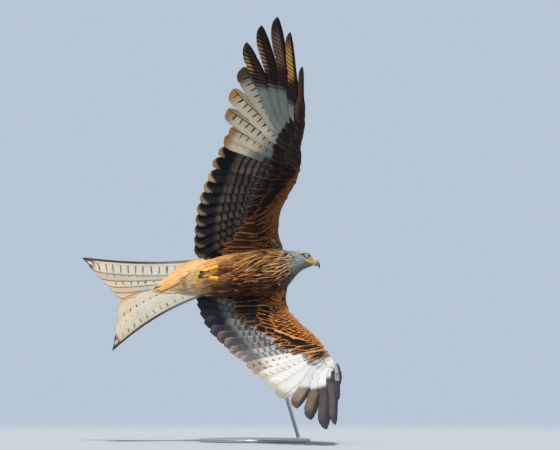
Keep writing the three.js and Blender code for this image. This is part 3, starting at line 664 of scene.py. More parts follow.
bodyColours = {
    "head": (0.40, 0.41, 0.40), "crown": (0.60, 0.60, 0.57), "throat": (0.22, 0.235, 0.24),
    # flank paints the upper side of the underparts lighter as painted light, and also tints the tail
    # coverts; shade paints their lower side darker as painted shade
    "neck": (0.80, 0.46, 0.16), "rufous": (0.50, 0.17, 0.038), "flank": (0.84, 0.37, 0.09),
    "vent": (0.84, 0.50, 0.22), "cream": (0.60, 0.46, 0.27), "shade": (0.135, 0.046, 0.020),
    "mantle": (0.085, 0.045, 0.026), "lore": (0.42, 0.42, 0.30), "brow": (0.02, 0.018, 0.016),
    "odd": (0.80, 0.70, 0.56), "rim": (1.0, 0.62, 0.24), "greyRim": (0.50, 0.51, 0.48),
    "mantleRim": (0.30, 0.14, 0.06), "tailLow": (0.50, 0.20, 0.045), "tailTop": (0.33, 0.12, 0.04),
    "tailUpper": (0.33, 0.13, 0.05), "thigh": (0.40, 0.19, 0.075),
}
bodyGaps = [  # along the body: steps between rows and gaps in a row
    [-190, 14, 6.2], [-60, 20, 7], [40, 23, 7.2], [80, 18, 6.8], [97, 11.5, 6], [110, 6.6, 4.4],
    [120, 4, 3], [140, 2.3, 2.1], [156, 1.7, 1.6],
]
bodyFeathers = [  # along the body: length and width
    [-190, 70, 9.5], [-90, 64, 10], [-40, 58, 11], [40, 58, 11], [80, 50, 10], [97, 36, 8.2], [110, 22, 6],
    [120, 13, 4.2], [140, 7, 3], [156, 4.2, 2.3],
]
bodyPuff = [[-190, 0.35], [-90, 0.5], [40, 0.85], [100, 0.75], [120, 0.5], [157, 0.32]]
bodyRows = {"fewest": 8, "loose": 0.28, "looseAlong": 0.35, "sweep": 0.009, "astray": 0.07, "odd": 0.022}
headLook = {
    "eyeClear": 7.6, "gapeClear": 1.9, "browFade": [3.0, 6.5], "browStart": [124, 131],
    "lore": [[149, 14, 497.5]], "loreFade": [3, 7], "loreShare": 0.7,
}
tailCoat = {
    "rows": [30, 116, 7], "gap": 5.4, "fewest": 7, "loose": 0.3, "looseAlong": 2, "puff": 0.38,
    "length": [[30, 66], [80, 48], [116, 28]], "width": [[30, 9.5], [80, 8.5], [116, 6.5]],
}


def bodyTint(x, angle):
    c = bodyColours
    up, belly = np.cos(angle), -np.sin(angle)
    front = ease(x, 88, 116)
    back = 1 - ease(belly, -0.45, -0.1)
    grey = mixed(c["head"], (c["crown"], ease(up, 0.35, 0.95)), (c["throat"], ease(-up, 0.1, 0.8)))
    # Painted light and shade: the underparts are painted lighter with the flank colour on the upper side,
    # towards the right wing, and darker with the shade colour on the lower side
    under = mixed(
        c["rufous"],
        (c["neck"], ease(x, 42, 92) * ease(up, -0.75, 0.1) * 0.8),
        (c["flank"], ease(up, -0.15, 0.75) * (1 - ease(x, 20, 90) * 0.6)),
        (c["vent"], ease(-x, 45, 140)),
        (c["cream"], ease(-x, 105, 175) * ease(-up, -0.1, 0.6) * 0.75),
        (c["shade"], ease(-up, 0.1, 0.8) * ease(x, -125, -50) * 0.95),
    )
    tint = mixed(under, (c["mantle"], back), (grey, front))
    warm = np.array(c["rim"]) * 0.2 + under * 0.9
    rim = mixed(warm, (c["rim"], ease(x, 10, 80)), (c["mantleRim"], back), (c["greyRim"], front))
    # Fewer streaks on the upper rear side are painted light, and thinner pale fringes on the lower side are
    # painted shade
    streak = 1.0 * (1 - ease(-x, 0, 105) * 0.95) * (1 - 0.5 * ease(up, 0.5, 0.9) * ease(-x, -20, 50))
    streak = streak * (1 - ease(x, 104, 126) * 0.4)
    fringe = 0.85 * ease(x, -60, 60) * (1 - 0.75 * ease(-up, 0.1, 0.8)) * (1 - ease(x, 100, 122) * 0.5)
    return tint, rim, streak, np.maximum(fringe, 0.6 * back * (1 - front))


def distanceTo(points, path):
    return np.linalg.norm(points[:, None] - np.asarray(path)[None], axis=2).min(1)


def ringAngles(count, row, loose):  # unevenly round a ring, every other row set off by half a gap
    return (np.arange(count) + 0.5 * (row % 2) + within(loose, count)) / count * fullTurn


def bakeHome(along, angles):
    return np.stack([0.02 + 0.96 * along, 0.02 + 0.96 * (angles % fullTurn) / fullTurn], 1)


def astray(leads, amount):
    return unit(leads + chance.normal(0, amount, leads.shape))


def bodySeeds(first, last):
    xs, angles = [], []
    x = first
    while x > last:
        _, _, wide, deep, _ = curves(bodyStations, x)
        step, gap = curves(bodyGaps, x)
        count = max(bodyRows["fewest"], int(math.pi * (wide + deep) / gap))
        angles.append(ringAngles(count, len(xs), bodyRows["loose"]))
        xs.append(x + within(bodyRows["looseAlong"], count) * step)
        x -= step
    xs, angles = np.clip(np.concatenate(xs), *bodyEnds), np.concatenate(angles)
    depth = line(coatDepth, xs)
    point = bodyPoint(xs, angles, depth)
    # those on the upper side sweep round to the belly
    turned = ease(np.cos(angles), -0.5, 0.4) * ease(-np.sin(angles), 0.0, 0.3) * ease(xs, -150, 10)
    behind = np.clip(xs - 2, *bodyEnds)
    ahead = bodyPoint(behind, angles - turned * bodyRows["sweep"], depth)
    lead = astray(unit(ahead - point + [[-0.01, 0, 0]]), bodyRows["astray"])
    tint, rim, streak, fringe = bodyTint(xs, angles)
    length, width = curves(bodyFeathers, xs)
    seeds = {
        "point": point, "lead": lead, "rim": rim,
        "streak": spread(streak, 0.25), "fringe": spread(fringe, 0.3),
        "length": spread(length, 0.15), "width": spread(width, 0.14),
        "puff": spread(line(bodyPuff, xs), 0.3),
        "home": bakeHome((first - xs) / (first - last + 2), angles),
    }
    pale = chance.uniform(size=len(xs)) < bodyRows["odd"]    # a few odd feathers
    odd = pale * 0.5 * ease(xs, -110, -40) * (1 - ease(xs, 70, 100))
    seeds["tint"] = mixed(tint * (1 + chance.normal(0, 0.09, (len(xs), 1))), (bodyColours["odd"], odd))
    seeds["streak"] = seeds["streak"] * (1 - odd)
    return seeds


def headSeeds():  # leaves the eyes and the gape free
    seeds = bodySeeds(156.5, 97)
    points = seeds["point"]
    tips = points + seeds["lead"] * seeds["length"][:, None]
    keep = np.full(len(points), True)
    for side in (1, -1):
        centre, _ = eyeAt(side, eyeShape["radius"] * 0.6)
        for place in (points, tips, (points + tips) / 2):
            keep &= np.linalg.norm(place - centre, axis=1) > headLook["eyeClear"]
        gape, brow = (smoothPath(mirrored(path, side), 30) for path in (gapePath, browPath))
        keep &= distanceTo(points, gape) > headLook["gapeClear"]
        dark = 1 - ease(distanceTo(points, brow), *headLook["browFade"])
        dark = dark * ease(points[:, 0], *headLook["browStart"])
        near = 1 - ease(distanceTo(points, mirrored(headLook["lore"], side)), *headLook["loreFade"])
        lore = (bodyColours["lore"], near * headLook["loreShare"])
        seeds["tint"] = mixed(seeds["tint"], (bodyColours["brow"], dark), lore)
    return {key: value[keep] for key, value in seeds.items()}


def tailRootSeeds():  # the soft feathers that taper over the root of the tail
    place, middle, c = tailSpace(), tailShape["middle"], bodyColours
    along, angles = [], []
    for row, at in enumerate(range(*tailCoat["rows"])):
        count = max(tailCoat["fewest"], int(math.pi * sum(curves(tailFlesh, at)) / tailCoat["gap"]))
        angles.append(ringAngles(count, row, tailCoat["loose"]))
        along.append(at + within(tailCoat["looseAlong"], count))
    along, angles = np.concatenate(along), np.concatenate(angles)
    wide, deep = (half - skinShape["tailInset"] for half in curves(tailFlesh, along))
    point = place(along, middle + wide * np.cos(angles), deep * np.sin(angles))
    further = place(along + 6, middle + (wide - 1.6) * np.cos(angles), (deep - 0.8) * np.sin(angles))
    down = -np.cos(angles)
    tint = mixed(
        c["vent"],
        (c["cream"], ease(down, -0.1, 0.6) * (1 - ease(along, 60, 90)) * 0.75),
        (c["tailLow"], ease(down, -0.3, 0.2) * (1 - ease(down, 0.5, 0.9)) * ease(along, 20, 50) * 0.8),
        (c["tailTop"], 1 - ease(-np.sin(angles), -0.4, 0.0)),
    )
    count = len(along)
    return {
        "point": point, "lead": astray(unit(further - point), 0.05), "tint": tint, "rim": tint * 1.15,
        "streak": np.full(count, 0.0), "fringe": np.full(count, 0.4),
        "length": spread(line(tailCoat["length"], along), 0.12),
        "width": spread(line(tailCoat["width"], along), 0.15),
        "puff": spread(np.full(count, tailCoat["puff"]), 0.3), "home": bakeHome((along - 26) / 94, angles),
    }


thighCoat = {"every": 2, "gap": 3.6, "length": [22, 8], "width": [7.5, 3], "puff": 0.8, "streak": 0.55}


def thighSeeds():
    rows, last = [], legShape["thighSteps"] - 1
    for n, leg in enumerate(legs.values()):
        path, radii = thighPath(leg)
        for i in range(2, last - 1, thighCoat["every"]):
            count = int(fullTurn * radii[i] / thighCoat["gap"])
            ring = tubeRings(path, radii, count)[i]
            ring = ring + (np.roll(ring, 1, 0) - ring) * chance.uniform(0, 0.5)
            share = np.full(count, i / last)
            home = np.stack([0.05 + 0.45 * n + 0.4 * share, 0.05 + 0.9 * np.arange(count) / count], 1)
            rows.append((ring, np.repeat((path[i + 1] - path[i])[None], count, 0), home, share))
    points, leads, homes, shares = (np.concatenate(some) for some in zip(*rows))
    count = len(points)
    (long, shorter), (wide, narrower) = thighCoat["length"], thighCoat["width"]
    tint = mixed(bodyColours["thigh"], (bodyColours["rufous"], chance.uniform(0.0, 0.8, count)))
    return {
        "point": points, "lead": astray(unit(leads), 0.08), "tint": tint, "rim": tint * 1.3 + 0.03,
        "streak": spread(np.full(count, thighCoat["streak"]), 0.5), "fringe": np.full(count, 0.5),
        "length": spread(long - shorter * shares, 0.15), "width": spread(wide - narrower * shares, 0.15),
        "puff": spread(np.full(count, thighCoat["puff"]), 0.3), "home": homes,
    }


leafPiece("coat_head", headSeeds(), "head_plumage", 6.0)
leafPiece("coat_body", bodySeeds(97.0, -188.0), "body_plumage")
leafPiece("coat_tail_root", tailRootSeeds(), "body_plumage")
leafPiece("coat_thighs", thighSeeds(), "body_plumage", 3.0)


# Small wing coverts, in rows from the leading edge

wingColours = {
    "lining": (0.68, 0.235, 0.045), "edge": (0.66, 0.25, 0.07), "dark": (0.022, 0.014, 0.012),
    "upper": (0.10, 0.05, 0.028), "upperFront": (0.26, 0.12, 0.055), "upperPale": (0.42, 0.30, 0.19),
    "rim": (0.85, 0.36, 0.10), "white": (0.60, 0.58, 0.55), "scallop": (0.17, 0.14, 0.13),
    "slate": (0.05, 0.052, 0.062), "upperRim": (0.36, 0.20, 0.11),
}
wingShade = {  # the right wing is painted darker as painted shade
    "right": {"lining": 0.5, "carpal": 0.95, "white": 0.0, "dusk": 0.85},
    "left": {"lining": 1.0, "carpal": 0.0, "white": 1.0, "dusk": 0.35},
}
coverRows = {  # how far the rows reach behind the bones, and what they leave free of the flight feathers
    1: {"deep": 38, "free": 4, "narrow": 1},        # upper side
    -1: {"deep": 62, "free": 26, "narrow": 0.75},   # lower side
    "steps": np.concatenate([[0, 5, 10.5, 17, 24.5], 33 + 10.5 * np.arange(12)]),
    "apart": 7.2, "loose": 1.8, "front": 1.2, "tipDeep": 8, "lie": [32, 112], "astray": 4,
    "length": [[0, 17], [0.4, 26], [1, 36]], "width": [[0, 7], [0.4, 10], [1, 14]],
    "puff": [[0, 0.7], [1, 1.1]],
}


def coverPlaces(wing, face):  # where they start in the plan, and their shares from front to rear
    section, _, _ = wingForm(wing)
    rows, wrist, tip = coverRows[face], wing["wrist"], wing["handTip"]
    bone = [[-20, 0], [0, 0], wing["elbow"], wrist, tip, [tip[0] + 40, tip[1]]]
    found = []
    for row, step in enumerate(coverRows["steps"]):
        u = np.arange(-8 + coverRows["apart"] / 2 * (row % 2), tip[0] + 8, coverRows["apart"])
        u = u + within(coverRows["loose"], len(u))
        front, rear, _ = section(u)
        less = (rows["deep"] - coverRows["tipDeep"]) * ease(u, wrist[0] - 20, tip[0]) * rows["narrow"]
        limit = line(bone, u) + rows["deep"] - less
        v = front + coverRows["front"] + step + within(coverRows["loose"], len(u))
        good = v < np.minimum(limit, rear - rows["free"])
        found.append(np.stack([u, v, (v - front) / np.maximum(limit - front, 6)])[:, good])
    return np.concatenate(found, 1)


def coverSeeds(name, wing, face):  # face 1 is the upper side, -1 the lower
    _, half, direction = wingForm(wing)
    space = wingSpace(wing)
    u, v, share = coverPlaces(wing, face)
    count, wrist, tip = len(u), wing["wrist"][0], wing["handTip"][0]
    angle = np.clip(direction(u), *coverRows["lie"]) + chance.normal(0, coverRows["astray"], count)
    angle = np.radians(angle)
    high = face * np.maximum(half(u, v) - wingFlesh["inset"], wingFlesh["least"])
    point = space(u, v, high)
    c, mood = wingColours, wingShade[name]
    if face < 0:
        # On the right wing, painted shade: a darker lining, a dark carpal patch, much darker rear rows and
        # no white hand coverts
        front = ease(share, 0.02, 0.3)
        carpal = ease(u, wrist - 110, wrist - 30) * mood["carpal"]
        carpal = carpal * np.maximum(ease(share, 0.05, 0.4), ease(u, wrist - 20, wrist + 10))
        dusk = ease(share, 0.35, 0.9) * mood["dusk"] * chance.uniform(0.5, 1.0, count)
        hand = ease(u, wrist + 22, wrist + 38) * mood["white"]
        streak = spread(0.55 + 0.45 * front, 0.3) * (1 - hand * 0.6)
        scallops = mixed(c["scallop"], (c["white"], chance.uniform(0, 1, count)))
        lining = mixed(c["edge"], (c["lining"], front)) * mood["lining"]
        slate = hand * (1 - ease(share, 0.1, 0.4))
        tint = mixed(lining, (c["dark"], np.maximum(carpal, dusk)), (scallops, hand), (c["slate"], slate))
        rim = mixed(np.array(c["rim"]) * mood["lining"] * (1 - carpal * 0.8)[:, None], (c["white"], hand))
        fringe = 0.7 * ease(share, 0.2, 0.7) * (1 - 0.55 * carpal)
    else:
        pale = ease(share, 0.7, 0.95) * (1 - ease(u, wrist, tip)) * 0.7
        tint = mixed(c["upperFront"], (c["upper"], ease(share, 0.05, 0.4)), (c["upperPale"], pale))
        rim = np.array(c["upperRim"]) * np.ones((count, 1))
        streak, fringe = np.full(count, 0.8), np.full(count, 0.6)
    return {
        "point": point, "lead": unit(space(u + 3 * np.cos(angle), v + 3 * np.sin(angle), high) - point),
        "tint": tint * (1 + chance.normal(0, 0.12, (count, 1))), "rim": rim,
        "streak": streak, "fringe": fringe,
        **{key: spread(line(coverRows[key], share), vary)
           for key, vary in (("length", 0.15), ("width", 0.15), ("puff", 0.3))},
        "home": np.stack([0.02 + 0.96 * (u + 20) / (tip + 60), 0.5 + 0.25 * face + 0.4 * (v / 300)], 1),
    }


for name, wing in wings.items():
    upper, lower = coverSeeds(name, wing, 1), coverSeeds(name, wing, -1)
    both = {key: np.concatenate([upper[key], lower[key]]) for key in upper}
    leafPiece(f"coat_wing_{name}", both, "wing_plumage")

# The skin takes its colour from the feathers that grow on it
tree = KDTree(sum(len(places) for places, _ in roots))
for i, place in enumerate(np.concatenate([places for places, _ in roots])):
    tree.insert(place, i)
tree.balance()
rootTints = np.concatenate([tint for _, tint in roots])
skinTint = np.array([rootTints[tree.find(point)[1]] for point in skinPoints])
setColour(skin.data, "tint", skinTint * 0.8)
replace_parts(skin, "torso", "neck", "head", "thigh_right", "thigh_left")
print("skin coloured")


# Long feathers: two faces with a raised shaft

vaneRows = 38
vaneAcross = np.array([-1, -0.84, -0.66, -0.46, -0.26, -0.07, 0, 0.07, 0.3, 0.55, 0.8, 1])
coverVanes = {"rows": 13, "across": np.array([-1, -0.7, -0.36, 0, 0.4, 0.72, 1])}
outlines = {  # breadth along a feather
    "broad": [[0, 0.06], [0.09, 0.08], [0.2, 0.75], [0.32, 1], [0.86, 1], [0.92, 0.93], [0.96, 0.78],
              [0.985, 0.52], [1, 0.1]],
    "square": [[0, 0.06], [0.09, 0.08], [0.2, 0.75], [0.32, 1], [0.88, 1], [0.96, 0.95], [0.99, 0.78],
               [1, 0.35]],
    "cover": [[0, 0.12], [0.16, 0.5], [0.4, 0.95], [0.72, 1], [0.88, 0.85], [0.96, 0.55], [1, 0.12]],
}
plainForm = {  # of a long feather that says nothing else
    "outline": outlines["broad"], "ragged": 1, "slant": 0, "bow": 0, "camber": 1.6, "tilt": flight["tilt"],
    "wave": 0.25, "shaft": 0.75,
}
plainPaint = {"streak": 0, "bars": 0, "fringe": 0, "quill": 0, "gap": 15.5, "thin": 0.3, "slant": 0.2}
edgeWear = {"rough": 0.012, "torn": 0.05, "tear": 0.1}
vaneThick = {"vane": 0.14, "shaftWide": 0.09, "waves": 19}


def fingerOutline(share):
    return [[0, 0.06], [0.08, 0.08], [0.18, 0.8], [0.27, 1], [0.42, 0.98], [0.53, (1 + 2 * share) / 3],
            [0.6, share], [0.86, share * 0.92], [0.94, share * 0.7], [0.98, share * 0.42], [1, 0.05]]


def gridQuads(rows, columns):  # the two faces of a sheet and the wall round them
    index = np.arange(rows * columns).reshape(rows, columns)
    top = np.stack([index[:-1, :-1], index[:-1, 1:], index[1:, 1:], index[1:, :-1]], -1).reshape(-1, 4)
    rim = np.concatenate([index[0, :-1], index[:-1, -1], index[-1, :0:-1], index[:0:-1, 0]])
    following = np.roll(rim, -1)
    walls = np.stack([following, rim, rim + index.size, following + index.size], 1)
    return np.concatenate([top, top[:, ::-1] + index.size, walls])


def vane(feather, rows, across):  # points and shares of one long feather
    f = {**plainForm, **feather}
    t, s = 1 - (1 - np.linspace(0, 1, rows)[:, None]) ** 1.25, across[None]
    rough = np.abs(chance.normal(0, edgeWear["rough"], (rows, 2)))
    torn = chance.uniform(size=(rows, 2)) < edgeWear["torn"]
    worn = 1 - (rough + torn * edgeWear["tear"]) * f["ragged"]
    lead = f["lead"] * curve(f.get("leadOutline", f["outline"]), t) * worn[:, :1]
    trail = f["trail"] * curve(f["outline"], t) * worn[:, 1:]
    aside = np.where(s > 0, lead, trail) * s
    # the tip is cut back on its trailing side, or on its leading side if the slant is negative
    cut = f["slant"] * ease(t, 0.55, 1) * (s - 0.2 if f["slant"] > 0 else s + 0.6) / 2
    reach = f["length"] * t + cut
    bowed = aside + f["bow"] * t * (t - 1)
    cos, sin = heading(f["angle"])
    u = f["root"][0] + cos * reach + sin * bowed
    v = f["root"][1] + sin * reach - cos * bowed
    level = f["level"](t, u, v) if "level" in f else f["height"]
    w = level + aside * f["tilt"] - f["camber"] * (aside / f["trail"]) ** 2
    w = w + f["wave"] * np.sin(t * vaneThick["waves"] + f["root"][0]) * s * s
    shaft = f["shaft"] * (1 - 0.6 * t) * np.exp(-(s / vaneThick["shaftWide"]) ** 2)
    thick = vaneThick["vane"] + shaft
    faces = [f["space"](u, v, w + thick).reshape(-1, 3), f["space"](u, v, w - thick).reshape(-1, 3)]
    return np.concatenate(faces), t + 0 * s, s + 0 * t


def vanePiece(name, feathers, slotName, rows=vaneRows, across=vaneAcross):
    # feathers hold the space, the form and a paint function that gives the colours of each face
    one = gridQuads(rows, len(across))
    parts, vanes, bakes = [], [], []
    values = {key: [] for key in ("tint", "rim", "span", *plainPaint)}
    columns = math.ceil(math.sqrt(2 * len(feathers) / 4))
    cells = [columns, math.ceil(2 * len(feathers) / columns)]
    for i, feather in enumerate(feathers):
        points, t, s = vane(feather, rows, across)
        parts.append((points, outward(points, one)))
        flat = np.stack([s.ravel() / 2 + 0.5, t.ravel()], 1)
        vanes += [flat, flat]
        for face in (1, -1):
            cell = 2 * i + (face < 0)
            corner = [cell % columns, cell // columns]
            bakes.append((corner + flat[:, ::-1] * [0.94, 0.9] + [0.03, 0.05]) / cells)
            look = {**plainPaint, **feather["paint"](feather, face, t, s)}
            tint = np.broadcast_to(look["tint"], (*t.shape, 3)).reshape(-1, 3)
            tint = tint * (1 + chance.normal(0, 0.06))
            values["tint"].append(tint)
            values["rim"].append(np.broadcast_to(look.get("rim", tint), tint.shape))
            values["span"].append(np.full(t.size, feather["length"]))
            for key in plainPaint:
                values[key].append((look[key] + 0 * t).ravel())
    values = {key: np.concatenate(value) for key, value in values.items()}
    layers = {"OFBake": np.concatenate(bakes), "vane": np.concatenate(vanes)}
    piece = meshPiece(name, *joined(parts), plumageFinish, slotName, layers, values)
    print(name, len(feathers), "feathers,", len(piece.data.polygons) * 2, "triangles")
    return piece


flightColours = {
    # The right wing's colours are a shaded copy of the same plumage: its darker base, slate, patch and
    # coverts are painted shade, and its bright cream, golden and orange-brown tones on the inner primaries
    # are painted light shining through them.
    "right": {
        "base": (0.130, 0.098, 0.068), "slate": (0.011, 0.010, 0.014), "rim": (0.50, 0.30, 0.17),
        "cream": (0.92, 0.76, 0.52), "creamTip": (0.52, 0.24, 0.09), "patch": (0.25, 0.285, 0.25),
        "leading": (0.38, 0.27, 0.17), "golden": (0.66, 0.43, 0.20), "outer": (0.012, 0.009, 0.009),
        "duskyTip": 0.85, "barLight": 0.85, "inward": 0.5, "whitish": 0.0, "greyUntil": 0.3,
        "slateShare": [[0, 1]], "wedge": [[0, 1.0], [2, 0.9], [4, 0.5], [9, 0.25]],
        "greater": (0.050, 0.040, 0.036), "greaterRim": (0.26, 0.20, 0.15),
        "primaryCover": (0.030, 0.019, 0.015), "primaryRim": (0.15, 0.095, 0.065),
        "median": (0.060, 0.026, 0.013), "lesser": (0.13, 0.042, 0.014), "medianRim": (0.42, 0.145, 0.036),
        "axillary": (0.30, 0.10, 0.025),
    },
    "left": {
        "base": (0.30, 0.29, 0.27), "slate": (0.030, 0.034, 0.044), "rim": (0.30, 0.21, 0.17),
        "cream": (0.62, 0.59, 0.53), "creamTip": (0.42, 0.34, 0.25), "patch": (0.56, 0.56, 0.54),
        "leading": (0.54, 0.51, 0.46), "golden": (0.56, 0.54, 0.49), "outer": (0.020, 0.020, 0.024),
        "duskyTip": 0.3, "barLight": 0.6, "inward": 0.5, "whitish": 1.0, "greyUntil": 0.0,
        "slateShare": [[0, 0.68], [2, 0.74], [4, 0.9], [6, 1]],
        "wedge": [[0, 0.9], [3, 0.7], [5, 0.3], [7, 0.0]],
        "greater": (0.36, 0.32, 0.28), "greaterRim": (0.58, 0.52, 0.46),
        "primaryCover": (0.32, 0.28, 0.26), "primaryRim": (0.62, 0.56, 0.52),
        "median": (0.34, 0.12, 0.030), "lesser": (0.56, 0.19, 0.036), "medianRim": (0.80, 0.34, 0.09),
        # the left wing's near black axillaries are the painted shadow that the body casts on them
        "axillary": (0.060, 0.032, 0.024),
    },
    "upper": {"dark": (0.026, 0.019, 0.016), "brown": (0.075, 0.042, 0.026), "rim": (0.24, 0.14, 0.08)},
    "innerTip": (0.26, 0.19, 0.15),    # of the whitish wing's first two primaries
}


fingers = {  # P6 to P10: dark end, its barred web, where both start, where the web is coloured, bars; the right wing's orange webs are painted light shining through the feathers
    "right": [
        [(0.060, 0.034, 0.022), (0.70, 0.36, 0.14), 0.56, 0.72, 0.45, 1.0],
        [(0.036, 0.021, 0.015), (0.66, 0.31, 0.12), 0.46, 0.62, 0.55, 1.0],
        [(0.036, 0.022, 0.017), (0.24, 0.14, 0.08), 0.38, 0.58, 0.05, 0.6],
        [(0.034, 0.020, 0.015), (0.80, 0.36, 0.09), 0.27, 0.52, 0.02, 0.7],
        [(0.070, 0.036, 0.023), (0.12, 0.062, 0.036), 0.02, 0.2, 0.3, 0.2],
    ],
    "left": [
        [(0.070, 0.054, 0.050), (0.25, 0.18, 0.125), 0.60, 0.60, 0.05, 0.1],
        [(0.030, 0.029, 0.036), (0.155, 0.110, 0.075), 0.49, 0.52, 0.15, 0.15],
        [(0.030, 0.031, 0.042), (0.066, 0.053, 0.049), 0.37, 0.45, 0.25, 0.1],
        [(0.034, 0.036, 0.048), (0.082, 0.066, 0.062), 0.20, 0.3, 0.1, 0.1],
        [(0.028, 0.030, 0.042), (0.04, 0.038, 0.046), 0.02, 0.2, 0.3, 0.1],
    ],
}


def flightPaint(name):
    c, top = flightColours[name], flightColours["upper"]

    def secondary(feather, t, s):
        k = feather["k"] if feather["kind"] == "secondary" else 9
        base = np.array(c["base"]) * (1 - c["inward"] * k / 9) * (1 + 0.25 * math.sin(k * 2.3))
        share, wedge = float(line(c["slateShare"], k)), float(line(c["wedge"], k))
        inner = ease(-s - (1 - t) * 5.5, 0.3, 0.5) * wedge
        pale = np.maximum(ease(t, 0.98, 1.0) * 0.5 * min(1, wedge + 0.2), inner)
        tint = mixed(base, (c["slate"], ease(t, 0.72, 0.80) * share), (c["rim"], pale))
        bars = c["barLight"] * ease(t, 0.2, 0.3) * (1 - ease(t, 0.70, 0.76) * share)
        bars = bars * (1 - ease(t, 0.88, 0.94))
        return {"tint": tint, "bars": bars, "quill": 0.5, "gap": 17, "thin": 0.1, "slant": 0.15}

    def inPatch(feather, t, s):  # P1 to P5
        k, whitish = feather["k"], c["whitish"]
        inner = ease(-s, -0.02, 0.08)
        grey = c["greyUntil"] * max(0, 1 - k / 3)
        # on the right wing the cream, golden and orange-brown tip tones are painted light shining through
        # the feathers
        tint = mixed(
            np.array(c["patch"]) * (1 - grey),
            (c["cream"], ease(t, 0.2 + grey, 0.42 + grey) * (1 - 0.1 * k)),
            (c["golden"], (1 - ease(np.abs(s), 0.1, 0.6)) * 0.4),
            (c["leading"], ease(s, 0.02, 0.25) * ease(t, 0.35, 0.6) * 0.6),
            (c["creamTip"], ease(t, 0.82, 0.96) * (0.75 + 0.25 * inner)),
            (flightColours["innerTip"], ease(t, 0.70, 0.84) * 0.9 * whitish * (k < 2)),
            (fingers[name][0][0], ease(t, 0.78, 0.93) * c["duskyTip"] * (k == 4)),
        )
        bars = inner * (1 - ease(-s, 0.5, 0.68)) * ease(t, 0.25, 0.35) * (1 - ease(t, 0.9, 0.97))
        bars = bars * (1 - 0.25 * k if whitish else min(1, 0.25 + 0.4 * k))
        quill = 0.85 - 0.5 * whitish
        return {"tint": tint, "bars": bars, "quill": quill, "gap": 21, "thin": 0.62, "slant": 0.05}

    def finger(feather, t, s):  # P6 to P10
        dark, web, start, bright, edge, strong = fingers[name][feather["k"] - 5]
        webbed = ease(-s, edge, edge + 0.2) * ease(t, bright, bright + 0.1)
        tint = mixed(
            c["patch"],
            (dark, ease(t + 0.10 * s, start - 0.05, start + 0.04)),
            (web, webbed * (1 - ease(t, 0.82, 0.95) * 0.9)),
            (c["outer"], ease(s, 0.08, 0.3) * ease(t, start - 0.26, start - 0.04) * 0.85),
        )
        bars = strong * ease(-s, 0.0, 0.12) * ease(t, start, start + 0.1) * (1 - ease(t, 0.93, 0.99))
        return {"tint": tint, "bars": bars, "quill": 0.8, "gap": 13, "thin": 0.05, "slant": 1.9}

    def paint(feather, face, t, s):
        if face > 0:
            rim = ease(t, 0.965, 0.99) * 0.6
            tint = mixed(top["brown"], (top["dark"], ease(t, 0.3, 0.7)), (top["rim"], rim))
            return {"tint": tint, "bars": 0.5 * ease(-s, -0.05, 0.12) * ease(t, 0.1, 0.3), "quill": 0.6}
        if feather["kind"] != "primary":
            return secondary(feather, t, s)
        return inPatch(feather, t, s) if feather["k"] < 5 else finger(feather, t, s)
    return paint


def wingFlight(name, wing):
    space, paint = wingSpace(wing), flightPaint(name)
    feathers = [{**f, "space": space, "paint": paint} for f in sum(flightFeathers(wing), [])]
    for f in feathers:
        if f["kind"] != "primary":
            f["outline"], f["leadOutline"] = outlines["square"], outlines["broad"]
            f["slant"] = line(wing["tipSlant"], f["k"] if f["kind"] == "secondary" else 9)
        elif flight["fingerShare"][f["k"]] < 1:
            f["outline"] = fingerOutline(flight["fingerShare"][f["k"]])
            f["leadOutline"] = fingerOutline(flight["leadShare"])
    return feathers


def coverPaint(name, tier):
    c, top = flightColours[name], flightColours["upper"]

    def primaryCover(share, mood, t, s):
        tint = np.array(c["primaryCover"]) * mood
        # the right wing's primary coverts stay plain dark as painted shade, where the left's turn white
        if name == "right":
            return {"tint": tint, "rim": c["primaryRim"], "fringe": 0.55, "streak": 0.2}
        slate = ease(share, 0.66, 0.84) * (0.5 + 0.5 * ease(s, -0.4, 0.2))
        tint = mixed(tint, (wingColours["white"], ease(share, 0.25, 0.55)), (c["slate"], slate))
        dusky = 1 - float(ease(share, 0.3, 0.6))
        tint = tint * (1 - 0.55 * dusky * ease(t, 0.66, 0.84) * (1 - ease(t, 0.88, 0.95)))[..., None]
        return {"tint": tint, "rim": c["primaryRim"], "fringe": 0.7 * dusky, "streak": 0.4 * dusky}

    def paint(feather, face, t, s):
        if feather["above"]:
            base = wingColours["upperPale"] if tier == "median" else top["brown"]
            tint = mixed(base, (top["dark"], ease(t, 0.1, 0.6) * 0.3))
            return {"tint": tint, "rim": top["rim"], "fringe": 0.6, "streak": 0.25}
        share, mood = feather["share"], feather["mood"]
        if tier == "primary":
            return primaryCover(share, mood, t, s)
        tint = np.array(c[tier]) * mood
        if tier == "greater":
            tint = np.array(c["greater"]) * (0.6 + 0.4 * mood)
            bars = {"bars": 0.7, "gap": 17, "thin": 0.2}
            return {"tint": tint, "rim": c["greaterRim"], "fringe": 0.7, **bars}
        # on the left wing the axillaries are painted near black as the body's painted shadow
        if tier == "axillary":
            return {"tint": tint, "rim": c["medianRim"], "streak": 0.9, "fringe": 0.5}
        # on the right wing the inner coverts and their rims are painted darker towards the body as painted
        # shade
        strength = 0.9 if name == "left" else float(ease(share, 0.05, 0.6))
        return {
            "tint": tint * (0.45 + 0.55 * strength),
            "rim": np.array(c["medianRim"]) * (0.3 + 0.7 * strength),
            "streak": 1.0, "fringe": 0.9 if name == "left" else 0.5 * mood,
        }
    return paint


